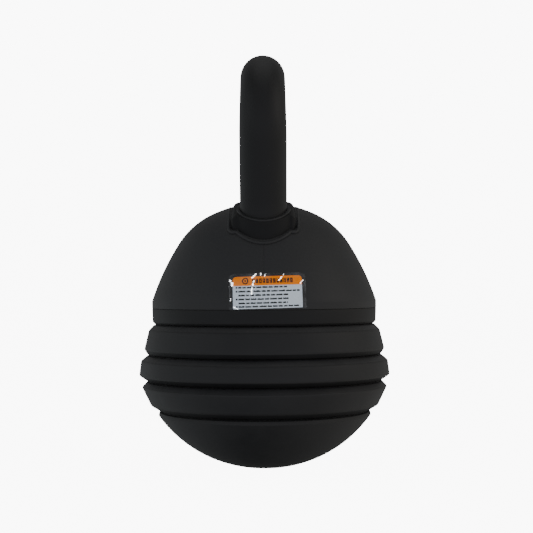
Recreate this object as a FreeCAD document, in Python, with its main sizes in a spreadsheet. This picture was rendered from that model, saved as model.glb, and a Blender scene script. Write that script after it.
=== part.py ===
import FreeCAD, Part
import Sketcher
import math
import os
from types import SimpleNamespace

# An adjustable kettlebell: an egg-shaped stack of four iron weights under a handle unit.
# A dial between the handle's legs turns a shaft whose cams catch one weight after another.
# The weights are numbered from the top: 1, 2 and 3 are rings, 4 is the rounded bottom weight.
# Frame: +Z up, origin at the centre of the foot, the handle's loop lies in the Y-Z plane.

os.makedirs("parts", exist_ok=True)
doc = FreeCAD.newDocument("Kettlebell")

SIZES = {
    # The bell's outside, from the foot up
    "foot_radius": 16.0,
    "bowl_arc_radius": 97.5,
    "weight_4_top": 41.4,
    "weight_3_top": 63.8,
    "weight_2_top": 83.3,
    "weight_1_top": 106.0,
    "weight_gap": 0.8,
    "neck_4_radius": 78.6,
    "neck_3_radius": 87.9,
    "neck_2_radius": 87.6,
    "neck_1_radius": 82.7,
    "rim_4_radius": 79.5,
    "edge_3_low_radius": 85.3,
    "edge_3_high_radius": 91.8,
    "edge_2_low_radius": 93.9,
    "edge_2_high_radius": 92.5,
    "edge_1_low_radius": 90.0,
    "edge_1_high_radius": 86.6,
    "edge_slope_height": 4.0,
    "edge_round": 1.4,
    # Base cover and dome
    "cover_low_radius": 83.6,
    "seam_level": 118.2,
    "rim_radius": 84.1,
    "rim_top": 123.7,
    "dome_top": 197.2,
    "crown_arc_radius": 91.8,
    "crown_arc_angle": 24.4,
    "shoulder_arc_radius": 60.3,
    "shoulder_arc_angle": 57.4,
    "side_arc_radius": 188.0,
    "shell_wall": 3.5,
    "cover_floor": 3.0,
    "chassis_level": 124.0,
    "chassis_thickness": 10.0,
    "chassis_radius": 75.0,
    "cover_bore_radius": 16.5,
    "cover_hub_radius": 21.0,
    "cover_hub_height": 4.0,
    "cover_post_ring": 52.0,
    "shell_boss_ring": 66.0,
    "post_radius": 6.0,
    "shell_boss_top": 147.0,
    # Handle
    "handle_top": 305.0,
    "grip_radius": 16.6,
    "core_radius": 11.0,
    "leg_spacing": 87.0,
    "leg_bend_level": 180.0,
    "leg_bend_radius": 60.0,
    "leg_lean": 18.0,
    "corner_radius": 36.0,
    "top_arch_radius": 200.0,
    "stud_radius": 7.0,
    "nut_flats": 24.0,
    "nut_height": 11.0,
    "washer_radius": 13.5,
    "washer_height": 2.0,
    # Bridge round the legs
    "bridge_half_width": 22.8,
    "bridge_ear_place": 51.0,
    "bridge_ear_radius": 3.0,
    "bridge_notch_radius": 2.0,
    "bridge_nose_radius": 23.1,
    "bridge_nose_place": 40.0,
    "bridge_arch_radius": 122.0,
    "bridge_shoulder_radius": 5.0,
    "bridge_lip_radius": 19.4,
    "bridge_lip_rise": 1.0,
    "bridge_hollow_half_width": 17.5,
    "bridge_hollow_half_length": 22.0,
    "bridge_hollow_top": 180.2,
    "bridge_top": 197.6,
    "bridge_bottom": 158.0,
    # Selector
    "shaft_radius": 12.5,
    "shaft_top_radius": 11.0,
    "shaft_bore_radius": 6.3,
    "shaft_bottom": 18.0,
    "shaft_top": 188.0,
    "shaft_flats": 20.0,
    "cam_hub_radius": 15.0,
    "cam_tip_radius": 24.0,
    "cam_thickness": 6.0,
    "cam_clearance": 0.6,
    "lobe_angle": 18.0,
    "click_angle": 22.5,
    "dial_radius": 16.5,
    "dial_top": 198.2,
    "dial_grip_top": 206.0,
    "dial_grip_width": 12.0,
    "dial_gap": 0.6,
    "dial_seat_level": 190.2,
    "dial_bush_radius": 13.5,
    "flange_radius": 20.5,
    "spacer_radius": 14.0,
    "end_nut_flats": 28.0,
    "end_nut_height": 8.0,
    # Catch rings, dowels and pads in the weights
    "bore_radius": 26.0,
    "catch_radius": 34.0,
    "catch_bore_radius": 16.5,
    "catch_notch_radius": 25.0,
    "catch_thickness": 4.0,
    "catch_screw_ring": 29.5,
    "dowel_ring": 60.0,
    "dowel_radius": 4.0,
    "dowel_rise": 5.0,
    "pad_radius": 8.0,
    # Dial lock
    "lock_travel": 4.0,
    "rod_radius": 4.5,
    "lock_plate_top": 146.0,
    "lock_plate_bore": 22.5,
    "lock_plate_radius": 32.0,
    "lock_slot_width": 4.4,
    "lock_screw_ring": 28.0,
    "spring_radius": 4.4,
    "spring_wire_radius": 0.7,
    "spring_turns": 7.0,
    # Rating label on the dome
    "label_width": 48.6,
    "label_bottom": 119.4,
    "label_top": 141.6,
    "label_offset": 2.7,
    "label_thickness": 0.35,
    "label_corner": 3.0,
}

WEIGHTS = (1, 2, 3, 4)
sheet = doc.addObject("Spreadsheet::Sheet", "Sizes")
for row, (alias, number) in enumerate(SIZES.items(), start=1):
    sheet.set(f"A{row}", alias)
    sheet.set(f"B{row}", str(number))
    sheet.setAlias(f"B{row}", alias)
doc.recompute()


class Size:
    """A number together with the spreadsheet expression that gives it."""

    def __init__(self, value, text):
        self.value = value
        self.text = text

    def __add__(self, other):
        other = as_size(other)
        return Size(self.value + other.value, f"({self.text} + {other.text})")

    def __sub__(self, other):
        other = as_size(other)
        return Size(self.value - other.value, f"({self.text} - {other.text})")

    def __mul__(self, other):
        other = as_size(other)
        return Size(self.value * other.value, f"({self.text} * {other.text})")

    def __truediv__(self, other):
        other = as_size(other)
        return Size(self.value / other.value, f"({self.text} / {other.text})")

    def __neg__(self):
        return self * -1.0

    def __radd__(self, other):
        return as_size(other) + self

    def __rsub__(self, other):
        return as_size(other) - self

    def __rmul__(self, other):
        return as_size(other) * self


def as_size(number):
    return number if isinstance(number, Size) else Size(float(number), repr(float(number)))


def sine(angle):
    angle = as_size(angle)
    return Size(math.sin(math.radians(angle.value)), f"sin({angle.text})")


def cosine(angle):
    angle = as_size(angle)
    return Size(math.cos(math.radians(angle.value)), f"cos({angle.text})")


def root(area):
    return Size(math.sqrt(area.value), f"sqrt({area.text})")


dim = SimpleNamespace(**{alias: Size(number, f"Sizes.{alias}") for alias, number in SIZES.items()})


# ---------------------------------------------------------------- building helpers

def bind(thing, prop, number):
    """Set a property to a size and tie it to the sheet."""
    number = as_size(number)
    thing.setExpression(prop, number.text)
    return thing


def place(thing, x=0.0, y=0.0, z=0.0, turn=0.0):
    """Put a primitive at a point, turned about the vertical."""
    x, y, z, turn = as_size(x), as_size(y), as_size(z), as_size(turn)
    spin = FreeCAD.Rotation(FreeCAD.Vector(0, 0, 1), turn.value)
    thing.Placement = FreeCAD.Placement(FreeCAD.Vector(x.value, y.value, z.value), spin)
    bind(thing, "Placement.Base.x", x)
    bind(thing, "Placement.Base.y", y)
    bind(thing, "Placement.Base.z", z)
    return thing


def cylinder(name, radius, bottom, top, x=0.0, y=0.0, sector=360.0, turn=0.0):
    solid = doc.addObject("Part::Cylinder", name)
    bind(solid, "Radius", radius)
    bind(solid, "Height", as_size(top) - bottom)
    bind(solid, "Angle", sector)
    return place(solid, x, y, bottom, turn)


def cone(name, low_radius, high_radius, bottom, top, x=0.0, y=0.0):
    solid = doc.addObject("Part::Cone", name)
    bind(solid, "Radius1", low_radius)
    bind(solid, "Radius2", high_radius)
    bind(solid, "Height", as_size(top) - bottom)
    return place(solid, x, y, bottom)


def hexagon(name, across_flats, bottom, top, x=0.0, y=0.0):
    solid = doc.addObject("Part::Prism", name)
    solid.Polygon = 6
    bind(solid, "Circumradius", as_size(across_flats) / 2.0 / cosine(30.0))
    bind(solid, "Height", as_size(top) - bottom)
    return place(solid, x, y, bottom)


def box(name, low, high):
    """A box between two corners, each a tuple of x, y and z."""
    solid = doc.addObject("Part::Box", name)
    for prop, start, end in zip(("Length", "Width", "Height"), low, high):
        bind(solid, prop, as_size(end) - start)
    return place(solid, *low)


def bar(name, length, width, bottom, top, turn):
    """A box centred on the vertical axis and turned about it."""
    solid = doc.addObject("Part::Box", name)
    bind(solid, "Length", length)
    bind(solid, "Width", width)
    bind(solid, "Height", as_size(top) - bottom)
    length, width = as_size(length), as_size(width)
    x = (width * sine(turn) - length * cosine(turn)) / 2.0
    y = -(length * sine(turn) + width * cosine(turn)) / 2.0
    return place(solid, x, y, bottom, turn)


def fuse(name, *solids):
    joined = doc.addObject("Part::MultiFuse", name)
    joined.Shapes = list(solids)
    joined.Refine = True
    return joined


def group(name, *solids):
    """Separate identical pieces kept in one sub-part."""
    pieces = doc.addObject("Part::Compound", name)
    pieces.Links = list(solids)
    return pieces


def cut(name, base, *tools):
    result = doc.addObject("Part::Cut", name)
    result.Base = base
    result.Tool = tools[0] if len(tools) == 1 else fuse(f"{name}_cutters", *tools)
    return result


def common(name, first, second):
    result = doc.addObject("Part::Common", name)
    result.Base = first
    result.Tool = second
    return result


def tube(name, inner, outer, bottom, top):
    core = cylinder(f"{name}_bore", inner, bottom, top)
    return cut(name, cylinder(f"{name}_outside", outer, bottom, top), core)


def around(radius, angle):
    """The point on a circle about the vertical axis."""
    return radius * cosine(angle), radius * sine(angle)


def origin_plane(body, role):
    return next(item for item in body.Origin.OriginFeatures if item.Role == role)


def new_sketch(body, role, name, level=0.0):
    """A sketch on one of the body's own origin planes, moved along its normal to a level."""
    sketch = body.newObject("Sketcher::SketchObject", name)
    sketch.AttachmentSupport = [(origin_plane(body, role), "")]
    sketch.MapMode = "FlatFace"
    bind(sketch, "AttachmentOffset.Base.z", level)
    return sketch


def lock_point(sketch, geometry, position, x, y):
    """Fix one point of a sketch, straight on an axis where its coordinate is zero."""
    for kind, number, axis in (("DistanceX", as_size(x), -2), ("DistanceY", as_size(y), -1)):
        if number.value == 0.0:
            sketch.addConstraint(Sketcher.Constraint("PointOnObject", geometry, position, axis))
        else:
            index = sketch.addConstraint(Sketcher.Constraint(kind, geometry, position, number.value))
            sketch.setExpression(f"Constraints[{index}]", number.text)


def arc_between(start, end, radius):
    """The shorter arc of a given radius; a positive radius bulges to the left of the way."""
    chord = end - start
    middle = (start + end) * 0.5
    left = FreeCAD.Vector(-chord.y, chord.x, 0).normalize()
    reach = math.sqrt(max(radius * radius - chord.Length ** 2 / 4.0, 0.0))
    side = 1.0 if radius > 0 else -1.0
    centre = middle - left * (reach * side)
    crest = centre + left * (abs(radius) * side)
    return Part.Arc(start, crest, end)


def closed_outline(sketch, points):
    """Draw a closed outline. A point is (x, y), or (x, y, radius) where an arc leads to it."""
    places = [FreeCAD.Vector(as_size(p[0]).value, as_size(p[1]).value, 0) for p in points]
    count = len(points)
    for index in range(count):
        start = places[index]
        end = places[(index + 1) % count]
        goal = points[(index + 1) % count]
        if len(goal) == 3:
            radius = as_size(goal[2])
            curve = arc_between(start, end, radius.value)
            number = sketch.addGeometry(curve)
            first, last = (1, 2) if radius.value < 0 else (2, 1)
            rule = sketch.addConstraint(Sketcher.Constraint("Radius", number, abs(radius.value)))
            sketch.setExpression(f"Constraints[{rule}]", f"abs({radius.text})")
        else:
            number = sketch.addGeometry(Part.LineSegment(start, end))
            first, last = 1, 2
        lock_point(sketch, number, first, points[index][0], points[index][1])
        lock_point(sketch, number, last, goal[0], goal[1])


def revolved(name, points, axis="V_Axis"):
    """A body turned about one axis of the X-Z plane, the vertical one unless told otherwise."""
    body = doc.addObject("PartDesign::Body", name)
    sketch = new_sketch(body, "XZ_Plane", f"{name}_outline")
    closed_outline(sketch, points)
    turned = body.newObject("PartDesign::Revolution", f"{name}_revolution")
    turned.Profile = sketch
    turned.ReferenceAxis = (sketch, [axis])
    turned.Angle = 360.0
    body.Tip = turned
    doc.recompute()
    return body


def padded(name, points, low, high):
    """A body raised between two levels from a closed plan of (x, y) points."""
    body = doc.addObject("PartDesign::Body", name)
    sketch = new_sketch(body, "XY_Plane", f"{name}_outline", low)
    closed_outline(sketch, points)
    raised = body.newObject("PartDesign::Pad", f"{name}_pad")
    raised.Profile = sketch
    bind(raised, "Length", as_size(high) - low)
    body.Tip = raised
    doc.recompute()
    return body


def round_rims(body, radii, amount):
    """Round the circular outside edges whose radius is one of those given."""
    solid = body.Tip
    wanted = [as_size(radius).value for radius in radii]
    names = []
    for number, edge in enumerate(solid.Shape.Edges, start=1):
        is_circle = edge.Curve.TypeId == "Part::GeomCircle"
        if is_circle and any(abs(edge.Curve.Radius - radius) < 1e-4 for radius in wanted):
            names.append(f"Edge{number}")
    fillet = body.newObject("PartDesign::Fillet", f"{body.Name}_rounding")
    fillet.Base = (solid, names)
    bind(fillet, "Radius", amount)
    body.Tip = fillet
    doc.recompute()
    return body


# ---------------------------------------------------------------- levels worked out from the sheet

def weight_top(number):
    return getattr(dim, f"weight_{number}_top")


def weight_bottom(number):
    """Each ring rests on pads, a small gap above the weight below it."""
    return weight_top(number + 1) + dim.weight_gap


def cam_top(number):
    return weight_top(number) - dim.catch_thickness - dim.cam_clearance


def cam_bottom(number):
    return cam_top(number) - dim.cam_thickness


cover_bottom = dim.weight_1_top + dim.weight_gap
chassis_top = dim.chassis_level + dim.chassis_thickness
leg_place = dim.leg_spacing / 2.0

DOWEL_ANGLES = (30.0, 150.0, 270.0)
PAD_ANGLES = (90.0, 210.0, 330.0)
LEG_SIDES = (-1.0, 1.0)


# ---------------------------------------------------------------- fasteners and small repeated pieces

def flat_head_screw(name, x, y, top, length, head=3.8, shank=2.0):
    """A countersunk screw pointing down, its head flush with the given level."""
    head_height = head - shank
    top = as_size(top)
    taper = cone(f"{name}_head", shank, head, top - head_height, top, x, y)
    return fuse(name, taper, cylinder(f"{name}_shank", shank, top - length, top - head_height / 2, x, y))


def cap_screw(name, x, y, head_low, head_high, tip, head=3.5, shank=2.0):
    """A cylinder-head screw; its shank runs from the head to the tip level."""
    body = cylinder(f"{name}_head", head, head_low, head_high, x, y)
    low, high = (tip, head_low) if as_size(tip).value < as_size(head_low).value else (head_high, tip)
    return fuse(name, body, cylinder(f"{name}_shank", shank, low, high, x, y))


def dowels(name, level):
    """Three taper-nosed pins standing out of a weight's top."""
    pins = []
    for index, angle in enumerate(DOWEL_ANGLES, start=1):
        x, y = around(dim.dowel_ring, angle)
        shoulder = level + dim.dowel_rise - 1.5
        stem = cylinder(f"{name}_{index}_stem", dim.dowel_radius, level - 8.0, shoulder, x, y)
        nose = cone(f"{name}_{index}_nose", dim.dowel_radius, 2.5, shoulder, level + dim.dowel_rise, x, y)
        pins.append(fuse(f"{name}_{index}", stem, nose))
    return group(name, *pins)


def dowel_sockets(name, level):
    """Clearance holes for the dowels of the weight below."""
    holes = []
    for index, angle in enumerate(DOWEL_ANGLES, start=1):
        x, y = around(dim.dowel_ring, angle)
        holes.append(cylinder(f"{name}_{index}", dim.dowel_radius + 0.6, level - 1.0, level + 6.0, x, y))
    return holes


def pads(name, level):
    """Three soft pads that keep a gap between two weights."""
    discs = []
    for index, angle in enumerate(PAD_ANGLES, start=1):
        x, y = around(dim.dowel_ring, angle)
        low = level - dim.weight_gap
        discs.append(cylinder(f"{name}_{index}", dim.pad_radius, low, level + 1.2, x, y))
    return group(name, *discs)


# ---------------------------------------------------------------- weights

def ring_casting(number):
    """A thick iron ring whose outside is a sloped band between two bevelled edges."""
    low, high = weight_bottom(number), weight_top(number)
    outside_low = getattr(dim, f"edge_{number}_low_radius")
    outside_high = getattr(dim, f"edge_{number}_high_radius")
    seat = high - dim.catch_thickness
    body = revolved(f"weight_{number}_casting", [
        (dim.bore_radius, low),
        (getattr(dim, f"neck_{number + 1}_radius"), low),
        (outside_low, low + dim.edge_slope_height),
        (outside_high, high - dim.edge_slope_height),
        (getattr(dim, f"neck_{number}_radius"), high),
        (dim.catch_radius, high),
        (dim.catch_radius, seat),
        (dim.bore_radius, seat),
    ])
    return round_rims(body, (outside_low, outside_high), dim.edge_round)


def bottom_casting():
    """The rounded bottom weight: a flat foot, a bowl arc, and a pocket for the shaft's end."""
    high = dim.weight_4_top
    floor = dim.shaft_bottom - 4.0
    body = revolved("weight_4_casting", [
        (dim.rod_radius + 0.7, 0.0),
        (dim.foot_radius, 0.0),
        (dim.rim_4_radius, high - 3.0, -dim.bowl_arc_radius),
        (dim.neck_4_radius, high),
        (dim.catch_radius, high),
        (dim.catch_radius, high - dim.catch_thickness),
        (dim.bore_radius, high - dim.catch_thickness),
        (dim.bore_radius, floor),
        (dim.rod_radius + 0.7, floor),
    ])
    return body


def catch_ring(number, screws):
    """A steel ring with two notches that let the cam pass and two ledges that it lifts."""
    low, high = weight_top(number) - dim.catch_thickness, weight_top(number)
    notches = []
    for index, half in enumerate((0.0, 180.0), start=1):
        turn = half - dim.click_angle.value / 2.0
        notch_name = f"catch_ring_{number}_notch_{index}"
        notches.append(cylinder(notch_name, dim.catch_notch_radius, low, high, sector=90.0, turn=turn))
    bore = cylinder(f"catch_ring_{number}_bore", dim.catch_bore_radius, low, high)
    disc = cylinder(f"catch_ring_{number}_disc", dim.catch_radius, low, high)
    return cut(f"catch_ring_{number}", disc, bore, *notches, screws)


def weight(number):
    """One weight with its catch ring, screws, dowels and, on the rings, its pads."""
    top = weight_top(number)
    screws = []
    for index in range(4):
        x, y = around(dim.catch_screw_ring, dim.click_angle * 1.5 + 90.0 * index)
        screws.append(flat_head_screw(f"catch_screw_{number}_{index + 1}", x, y, top, 14.0))
    screw_group = group(f"catch_screws_{number}", *screws)
    pins = dowels(f"guide_dowels_{number}", top)
    nodes = [screw_group, pins, catch_ring(number, screw_group)]
    if number == 4:
        return nodes + [cut("weight_4", bottom_casting(), screw_group, pins)]
    low = weight_bottom(number)
    pad_group = pads(f"rattle_pads_{number}", low)
    sockets = dowel_sockets(f"weight_{number}_socket", low)
    tools = [screw_group, pins, pad_group] + sockets
    return nodes + [pad_group, cut(f"weight_{number}", ring_casting(number), *tools)]


# ---------------------------------------------------------------- handle

def handle_path(body, start_level):
    """Half of the loop's centreline, mirrored: leg, bend, lean, corner and a gently arched top."""
    lean = math.radians(dim.leg_lean.value)
    bend = dim.leg_bend_radius.value
    corner = dim.corner_radius.value
    arch = dim.top_arch_radius.value
    place_y, bend_z = leg_place.value, dim.leg_bend_level.value
    top = dim.handle_top.value - dim.grip_radius.value
    lean_start = (place_y + bend * (1 - math.cos(lean)), bend_z + bend * math.sin(lean))
    # The corner's centre lies a corner radius inside the leaning line and inside the top arch.
    line_y = lean_start[0] - corner * math.cos(lean)
    line_z = lean_start[1] + corner * math.sin(lean) - (top - arch)
    along = line_y * math.sin(lean) + line_z * math.cos(lean)
    spare = (arch - corner) ** 2 - line_y ** 2 - line_z ** 2
    reach = -along + math.sqrt(along ** 2 + spare)
    centre = (line_y + reach * math.sin(lean), line_z + reach * math.cos(lean) + top - arch)
    lean_end = (centre[0] + corner * math.cos(lean), centre[1] - corner * math.sin(lean))
    crest_angle = math.asin(centre[0] / (arch - corner))
    arch_end = (arch * math.sin(crest_angle), top - arch + arch * math.cos(crest_angle))

    sketch = new_sketch(body, "YZ_Plane", f"{body.Name}_path")
    right = [(place_y, start_level), (place_y, bend_z), lean_start, lean_end, arch_end]
    pieces = {}
    for side in LEG_SIDES:
        spots = [FreeCAD.Vector(side * p[0], p[1], 0) for p in right]
        hub_bend = FreeCAD.Vector(side * (place_y + bend), bend_z, 0)
        hub_corner = FreeCAD.Vector(side * centre[0], centre[1], 0)
        bend_mid = hub_bend + FreeCAD.Vector(-side * math.cos(lean / 2), math.sin(lean / 2), 0) * bend
        sweep = (math.pi / 2 - crest_angle - lean) / 2
        corner_mid = hub_corner + FreeCAD.Vector(side * math.cos(sweep), math.sin(sweep), 0) * corner
        pieces[side] = [
            sketch.addGeometry(Part.LineSegment(spots[0], spots[1])),
            sketch.addGeometry(Part.Arc(spots[1], bend_mid, spots[2])),
            sketch.addGeometry(Part.LineSegment(spots[2], spots[3])),
            sketch.addGeometry(Part.Arc(spots[3], corner_mid, spots[4])),
        ]
    left_end = FreeCAD.Vector(-arch_end[0], arch_end[1], 0)
    right_end = FreeCAD.Vector(arch_end[0], arch_end[1], 0)
    sketch.addGeometry(Part.Arc(left_end, FreeCAD.Vector(0, top, 0), right_end))
    return sketch


def bent_bar(name, radius, start_level):
    """A round bar bent along the handle's centreline."""
    body = doc.addObject("PartDesign::Body", name)
    path = handle_path(body, start_level)
    section = new_sketch(body, "XY_Plane", f"{name}_section", start_level)
    section.addGeometry(Part.Circle(FreeCAD.Vector(0, leg_place.value, 0), FreeCAD.Vector(0, 0, 1), 1.0))
    rule = section.addConstraint(Sketcher.Constraint("Radius", 0, radius.value))
    section.setExpression(f"Constraints[{rule}]", radius.text)
    lock_point(section, 0, 3, 0.0, leg_place)
    doc.recompute()
    pipe = body.newObject("PartDesign::AdditivePipe", f"{name}_pipe")
    pipe.Profile = section
    pipe.Spine = (path, [f"Edge{number + 1}" for number in range(len(path.Geometry))])
    body.Tip = pipe
    doc.recompute()
    return body


def handle_parts():
    """The steel loop with its threaded feet, and the grip moulded round it."""
    core_bar = bent_bar("handle_core_bar", dim.core_radius, chassis_top.value)
    studs = []
    for side in LEG_SIDES:
        name = "handle_stud_left" if side < 0 else "handle_stud_right"
        foot = dim.chassis_level - 14.0
        studs.append(cylinder(name, dim.stud_radius, foot, chassis_top + 1.0, 0.0, leg_place * side))
    core = fuse("handle_core", core_bar, *studs)
    grip_bar = bent_bar("handle_grip_bar", dim.grip_radius, dim.bridge_bottom.value - 2.0)
    grip = cut("handle_grip", grip_bar, core_bar)
    washers = []
    nuts = []
    for side in LEG_SIDES:
        word = "left" if side < 0 else "right"
        y = leg_place * side
        nut_top = dim.chassis_level - dim.washer_height
        nut_low = nut_top - dim.nut_height
        washer = cylinder(f"washer_disc_{word}", dim.washer_radius, nut_top, dim.chassis_level, 0.0, y)
        bore = cylinder(f"washer_bore_{word}", dim.stud_radius, nut_top, dim.chassis_level, 0.0, y)
        washers.append(cut(f"washer_{word}", washer, bore))
        nut = hexagon(f"nut_hex_{word}", dim.nut_flats, nut_low, nut_top, 0.0, y)
        thread = cylinder(f"nut_bore_{word}", dim.stud_radius, nut_low, nut_top, 0.0, y)
        nuts.append(cut(f"nut_{word}", nut, thread))
    return core, grip, grip_bar, group("handle_washers", *washers), group("handle_nuts", *nuts)


# ---------------------------------------------------------------- bridge, dome, cover and chassis

def bridge_plan(name, low, high):
    """The bridge's plan: a bar with a rounded nose round each leg and small ears beside it."""
    corner_x = dim.bridge_half_width - dim.bridge_ear_radius
    return padded(name, bridge_outline(corner_x, dim.bridge_ear_place, dim.bridge_nose_place), low, high)


def bridge_outline(ear_x, ear_y, nose_y):
    """Run round the plan; ear, notch and nose are arcs that flow into one another."""
    nose_reach = dim.bridge_nose_radius + dim.bridge_notch_radius
    ear_reach = dim.bridge_ear_radius + dim.bridge_notch_radius
    ahead = ear_y - nose_y
    apart = root(ear_x * ear_x + ahead * ahead)
    along = (nose_reach * nose_reach - ear_reach * ear_reach + apart * apart) / apart / 2.0
    aside = root(nose_reach * nose_reach - along * along)
    notch_x = (ear_x * along - ahead * aside) / apart
    notch_y = nose_y + (ahead * along + ear_x * aside) / apart
    ear_part = dim.bridge_ear_radius / ear_reach
    nose_part = dim.bridge_nose_radius / nose_reach
    ear_end_x = ear_x + (notch_x - ear_x) * ear_part
    ear_end_y = ear_y + (notch_y - ear_y) * ear_part
    nose_end_x = notch_x * nose_part
    nose_end_y = nose_y + (notch_y - nose_y) * nose_part
    points = []
    for end in (1.0, -1.0):
        points += [
            (dim.bridge_half_width * end, ear_y * end),
            (ear_end_x * end, ear_end_y * end, -dim.bridge_ear_radius),
            (nose_end_x * end, nose_end_y * end, dim.bridge_notch_radius),
            (nose_end_x * -end, nose_end_y * end, -dim.bridge_nose_radius),
            (ear_end_x * -end, ear_end_y * end, dim.bridge_notch_radius),
            (dim.bridge_half_width * -end, ear_y * end, -dim.bridge_ear_radius),
        ]
    return points


def bridge_wheel():
    """A wheel about the X axis; its round-shouldered tread is the bridge's arched top."""
    flat = dim.bridge_half_width - dim.bridge_shoulder_radius
    shoulder = dim.bridge_arch_radius - dim.bridge_shoulder_radius
    wheel = revolved("bridge_wheel", [
        (dim.bridge_half_width, 0.0),
        (dim.bridge_half_width, shoulder),
        (flat, dim.bridge_arch_radius, -dim.bridge_shoulder_radius),
        (-flat, dim.bridge_arch_radius),
        (-dim.bridge_half_width, shoulder, -dim.bridge_shoulder_radius),
        (-dim.bridge_half_width, 0.0),
    ], "H_Axis")
    bind(wheel, "Placement.Base.z", dim.bridge_top - dim.bridge_arch_radius)
    return wheel


def bridge_lips():
    """A slightly raised lip round each leg, following the arched top."""
    arch = doc.addObject("Part::Cylinder", "bridge_lip_arch")
    bind(arch, "Radius", dim.bridge_arch_radius + dim.bridge_lip_rise)
    bind(arch, "Height", dim.bridge_half_width * 2.0)
    arch.Placement = FreeCAD.Placement(FreeCAD.Vector(), FreeCAD.Rotation(FreeCAD.Vector(0, 1, 0), 90.0))
    bind(arch, "Placement.Base.x", -dim.bridge_half_width)
    bind(arch, "Placement.Base.z", dim.bridge_top - dim.bridge_arch_radius)
    lips = []
    for side in LEG_SIDES:
        name = "bridge_lip_left" if side < 0 else "bridge_lip_right"
        low, high = dim.bridge_bottom, dim.bridge_top
        lips.append(cylinder(name, dim.bridge_lip_radius, low, high, 0.0, leg_place * side))
    return common("bridge_lips", fuse("bridge_lip_discs", *lips), arch)


def bridge(grip_bar):
    """The bridge clamps both legs over the dome's crown and carries the dial's seat."""
    plan = bridge_plan("bridge_plan", dim.bridge_bottom, dim.bridge_top)
    block = common("bridge_block", plan, bridge_wheel())
    body = fuse("bridge_body", block, bridge_lips())
    seat = cylinder("dial_seat", dim.dial_radius + dim.dial_gap, dim.dial_seat_level, dim.dial_grip_top)
    bush_hole = cylinder("bush_hole", dim.dial_bush_radius, dim.bridge_bottom, dim.dial_top)
    half_x, half_y = dim.bridge_hollow_half_width, dim.bridge_hollow_half_length
    low, high = dim.bridge_bottom, dim.bridge_hollow_top
    hollow = box("bridge_hollow", (-half_x, -half_y, low), (half_x, half_y, high))
    return cut("handle_bridge", body, grip_bar, seat, bush_hole, hollow)


def dome_outline(offset):
    """Points of the dome's outside, moved outwards by an offset, from the crown to the rim."""
    crown_a, shoulder_a = dim.crown_arc_angle, dim.shoulder_arc_angle
    crown_z = dim.dome_top - dim.crown_arc_radius
    first = dim.crown_arc_radius + offset
    joint_1 = (first * sine(crown_a), crown_z + first * cosine(crown_a))
    drop = dim.crown_arc_radius - dim.shoulder_arc_radius
    shoulder_x = drop * sine(crown_a)
    shoulder_z = crown_z + drop * cosine(crown_a)
    second = dim.shoulder_arc_radius + offset
    joint_2 = (shoulder_x + second * sine(shoulder_a), shoulder_z + second * cosine(shoulder_a))
    drop = dim.shoulder_arc_radius - dim.side_arc_radius
    side_x = shoulder_x + drop * sine(shoulder_a)
    side_z = shoulder_z + drop * cosine(shoulder_a)
    third = dim.side_arc_radius + offset
    rise = dim.rim_top - side_z
    joint_3 = (side_x + root(third * third - rise * rise), dim.rim_top)
    return [
        (0.0, dim.dome_top + offset),
        (joint_1[0], joint_1[1], first),
        (joint_2[0], joint_2[1], second),
        (joint_3[0], joint_3[1], third),
        (dim.rim_radius + offset, dim.rim_top - 0.6),
    ]


def skin(name, inner, outer, bottom):
    """A turned skin between two offsets of the dome's outside, open at the bottom."""
    outside = dome_outline(as_size(outer)) + [(dim.rim_radius + outer, bottom)]
    inside = dome_outline(as_size(inner)) + [(dim.rim_radius + inner, bottom)]
    back = []
    for index in range(len(inside) - 1, -1, -1):
        point = inside[index]
        arrived_by = inside[index + 1] if index + 1 < len(inside) else ()
        arc = (-arrived_by[2],) if len(arrived_by) == 3 else ()
        back.append((point[0], point[1]) + arc)
    return revolved(name, outside + back)


SHELL_SCREW_ANGLES = (0.0, 50.0, 130.0, 180.0, 230.0, 310.0)
COVER_SCREW_ANGLES = (45.0, 135.0, 225.0, 315.0)


def dome_and_screws():
    """Two half shells that meet over the legs, each screwed down to the chassis plate."""
    whole = skin("dome_skin", -dim.shell_wall, 0.0, dim.seam_level)
    screws = []
    bosses = []
    for index, angle in enumerate(SHELL_SCREW_ANGLES, start=1):
        x, y = around(dim.shell_boss_ring, angle)
        boss = cylinder(f"shell_boss_{index}", dim.post_radius, chassis_top, dim.shell_boss_top, x, y)
        bosses.append(boss)
        head = dim.chassis_level
        screws.append(cap_screw(f"dome_screw_{index}", x, y, head - 4.0, head, chassis_top + 10.0))
    screw_group = group("dome_screws", *screws)
    body = fuse("dome_with_bosses", whole, *bosses)
    opening = bridge_plan("bridge_opening", dim.bridge_bottom, dim.dial_grip_top)
    trimmed = cut("dome_trimmed", body, opening, screw_group)
    wide = 100.0
    low, high = dim.seam_level - 1.0, dim.dome_top + 5.0
    left = box("left_side", (-wide, -wide, low), (0.0, wide, high))
    right = box("right_side", (0.0, -wide, low), (wide, wide, high))
    halves = [common("dome_shell_left", trimmed, left), common("dome_shell_right", trimmed, right)]
    return halves, screw_group


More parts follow.
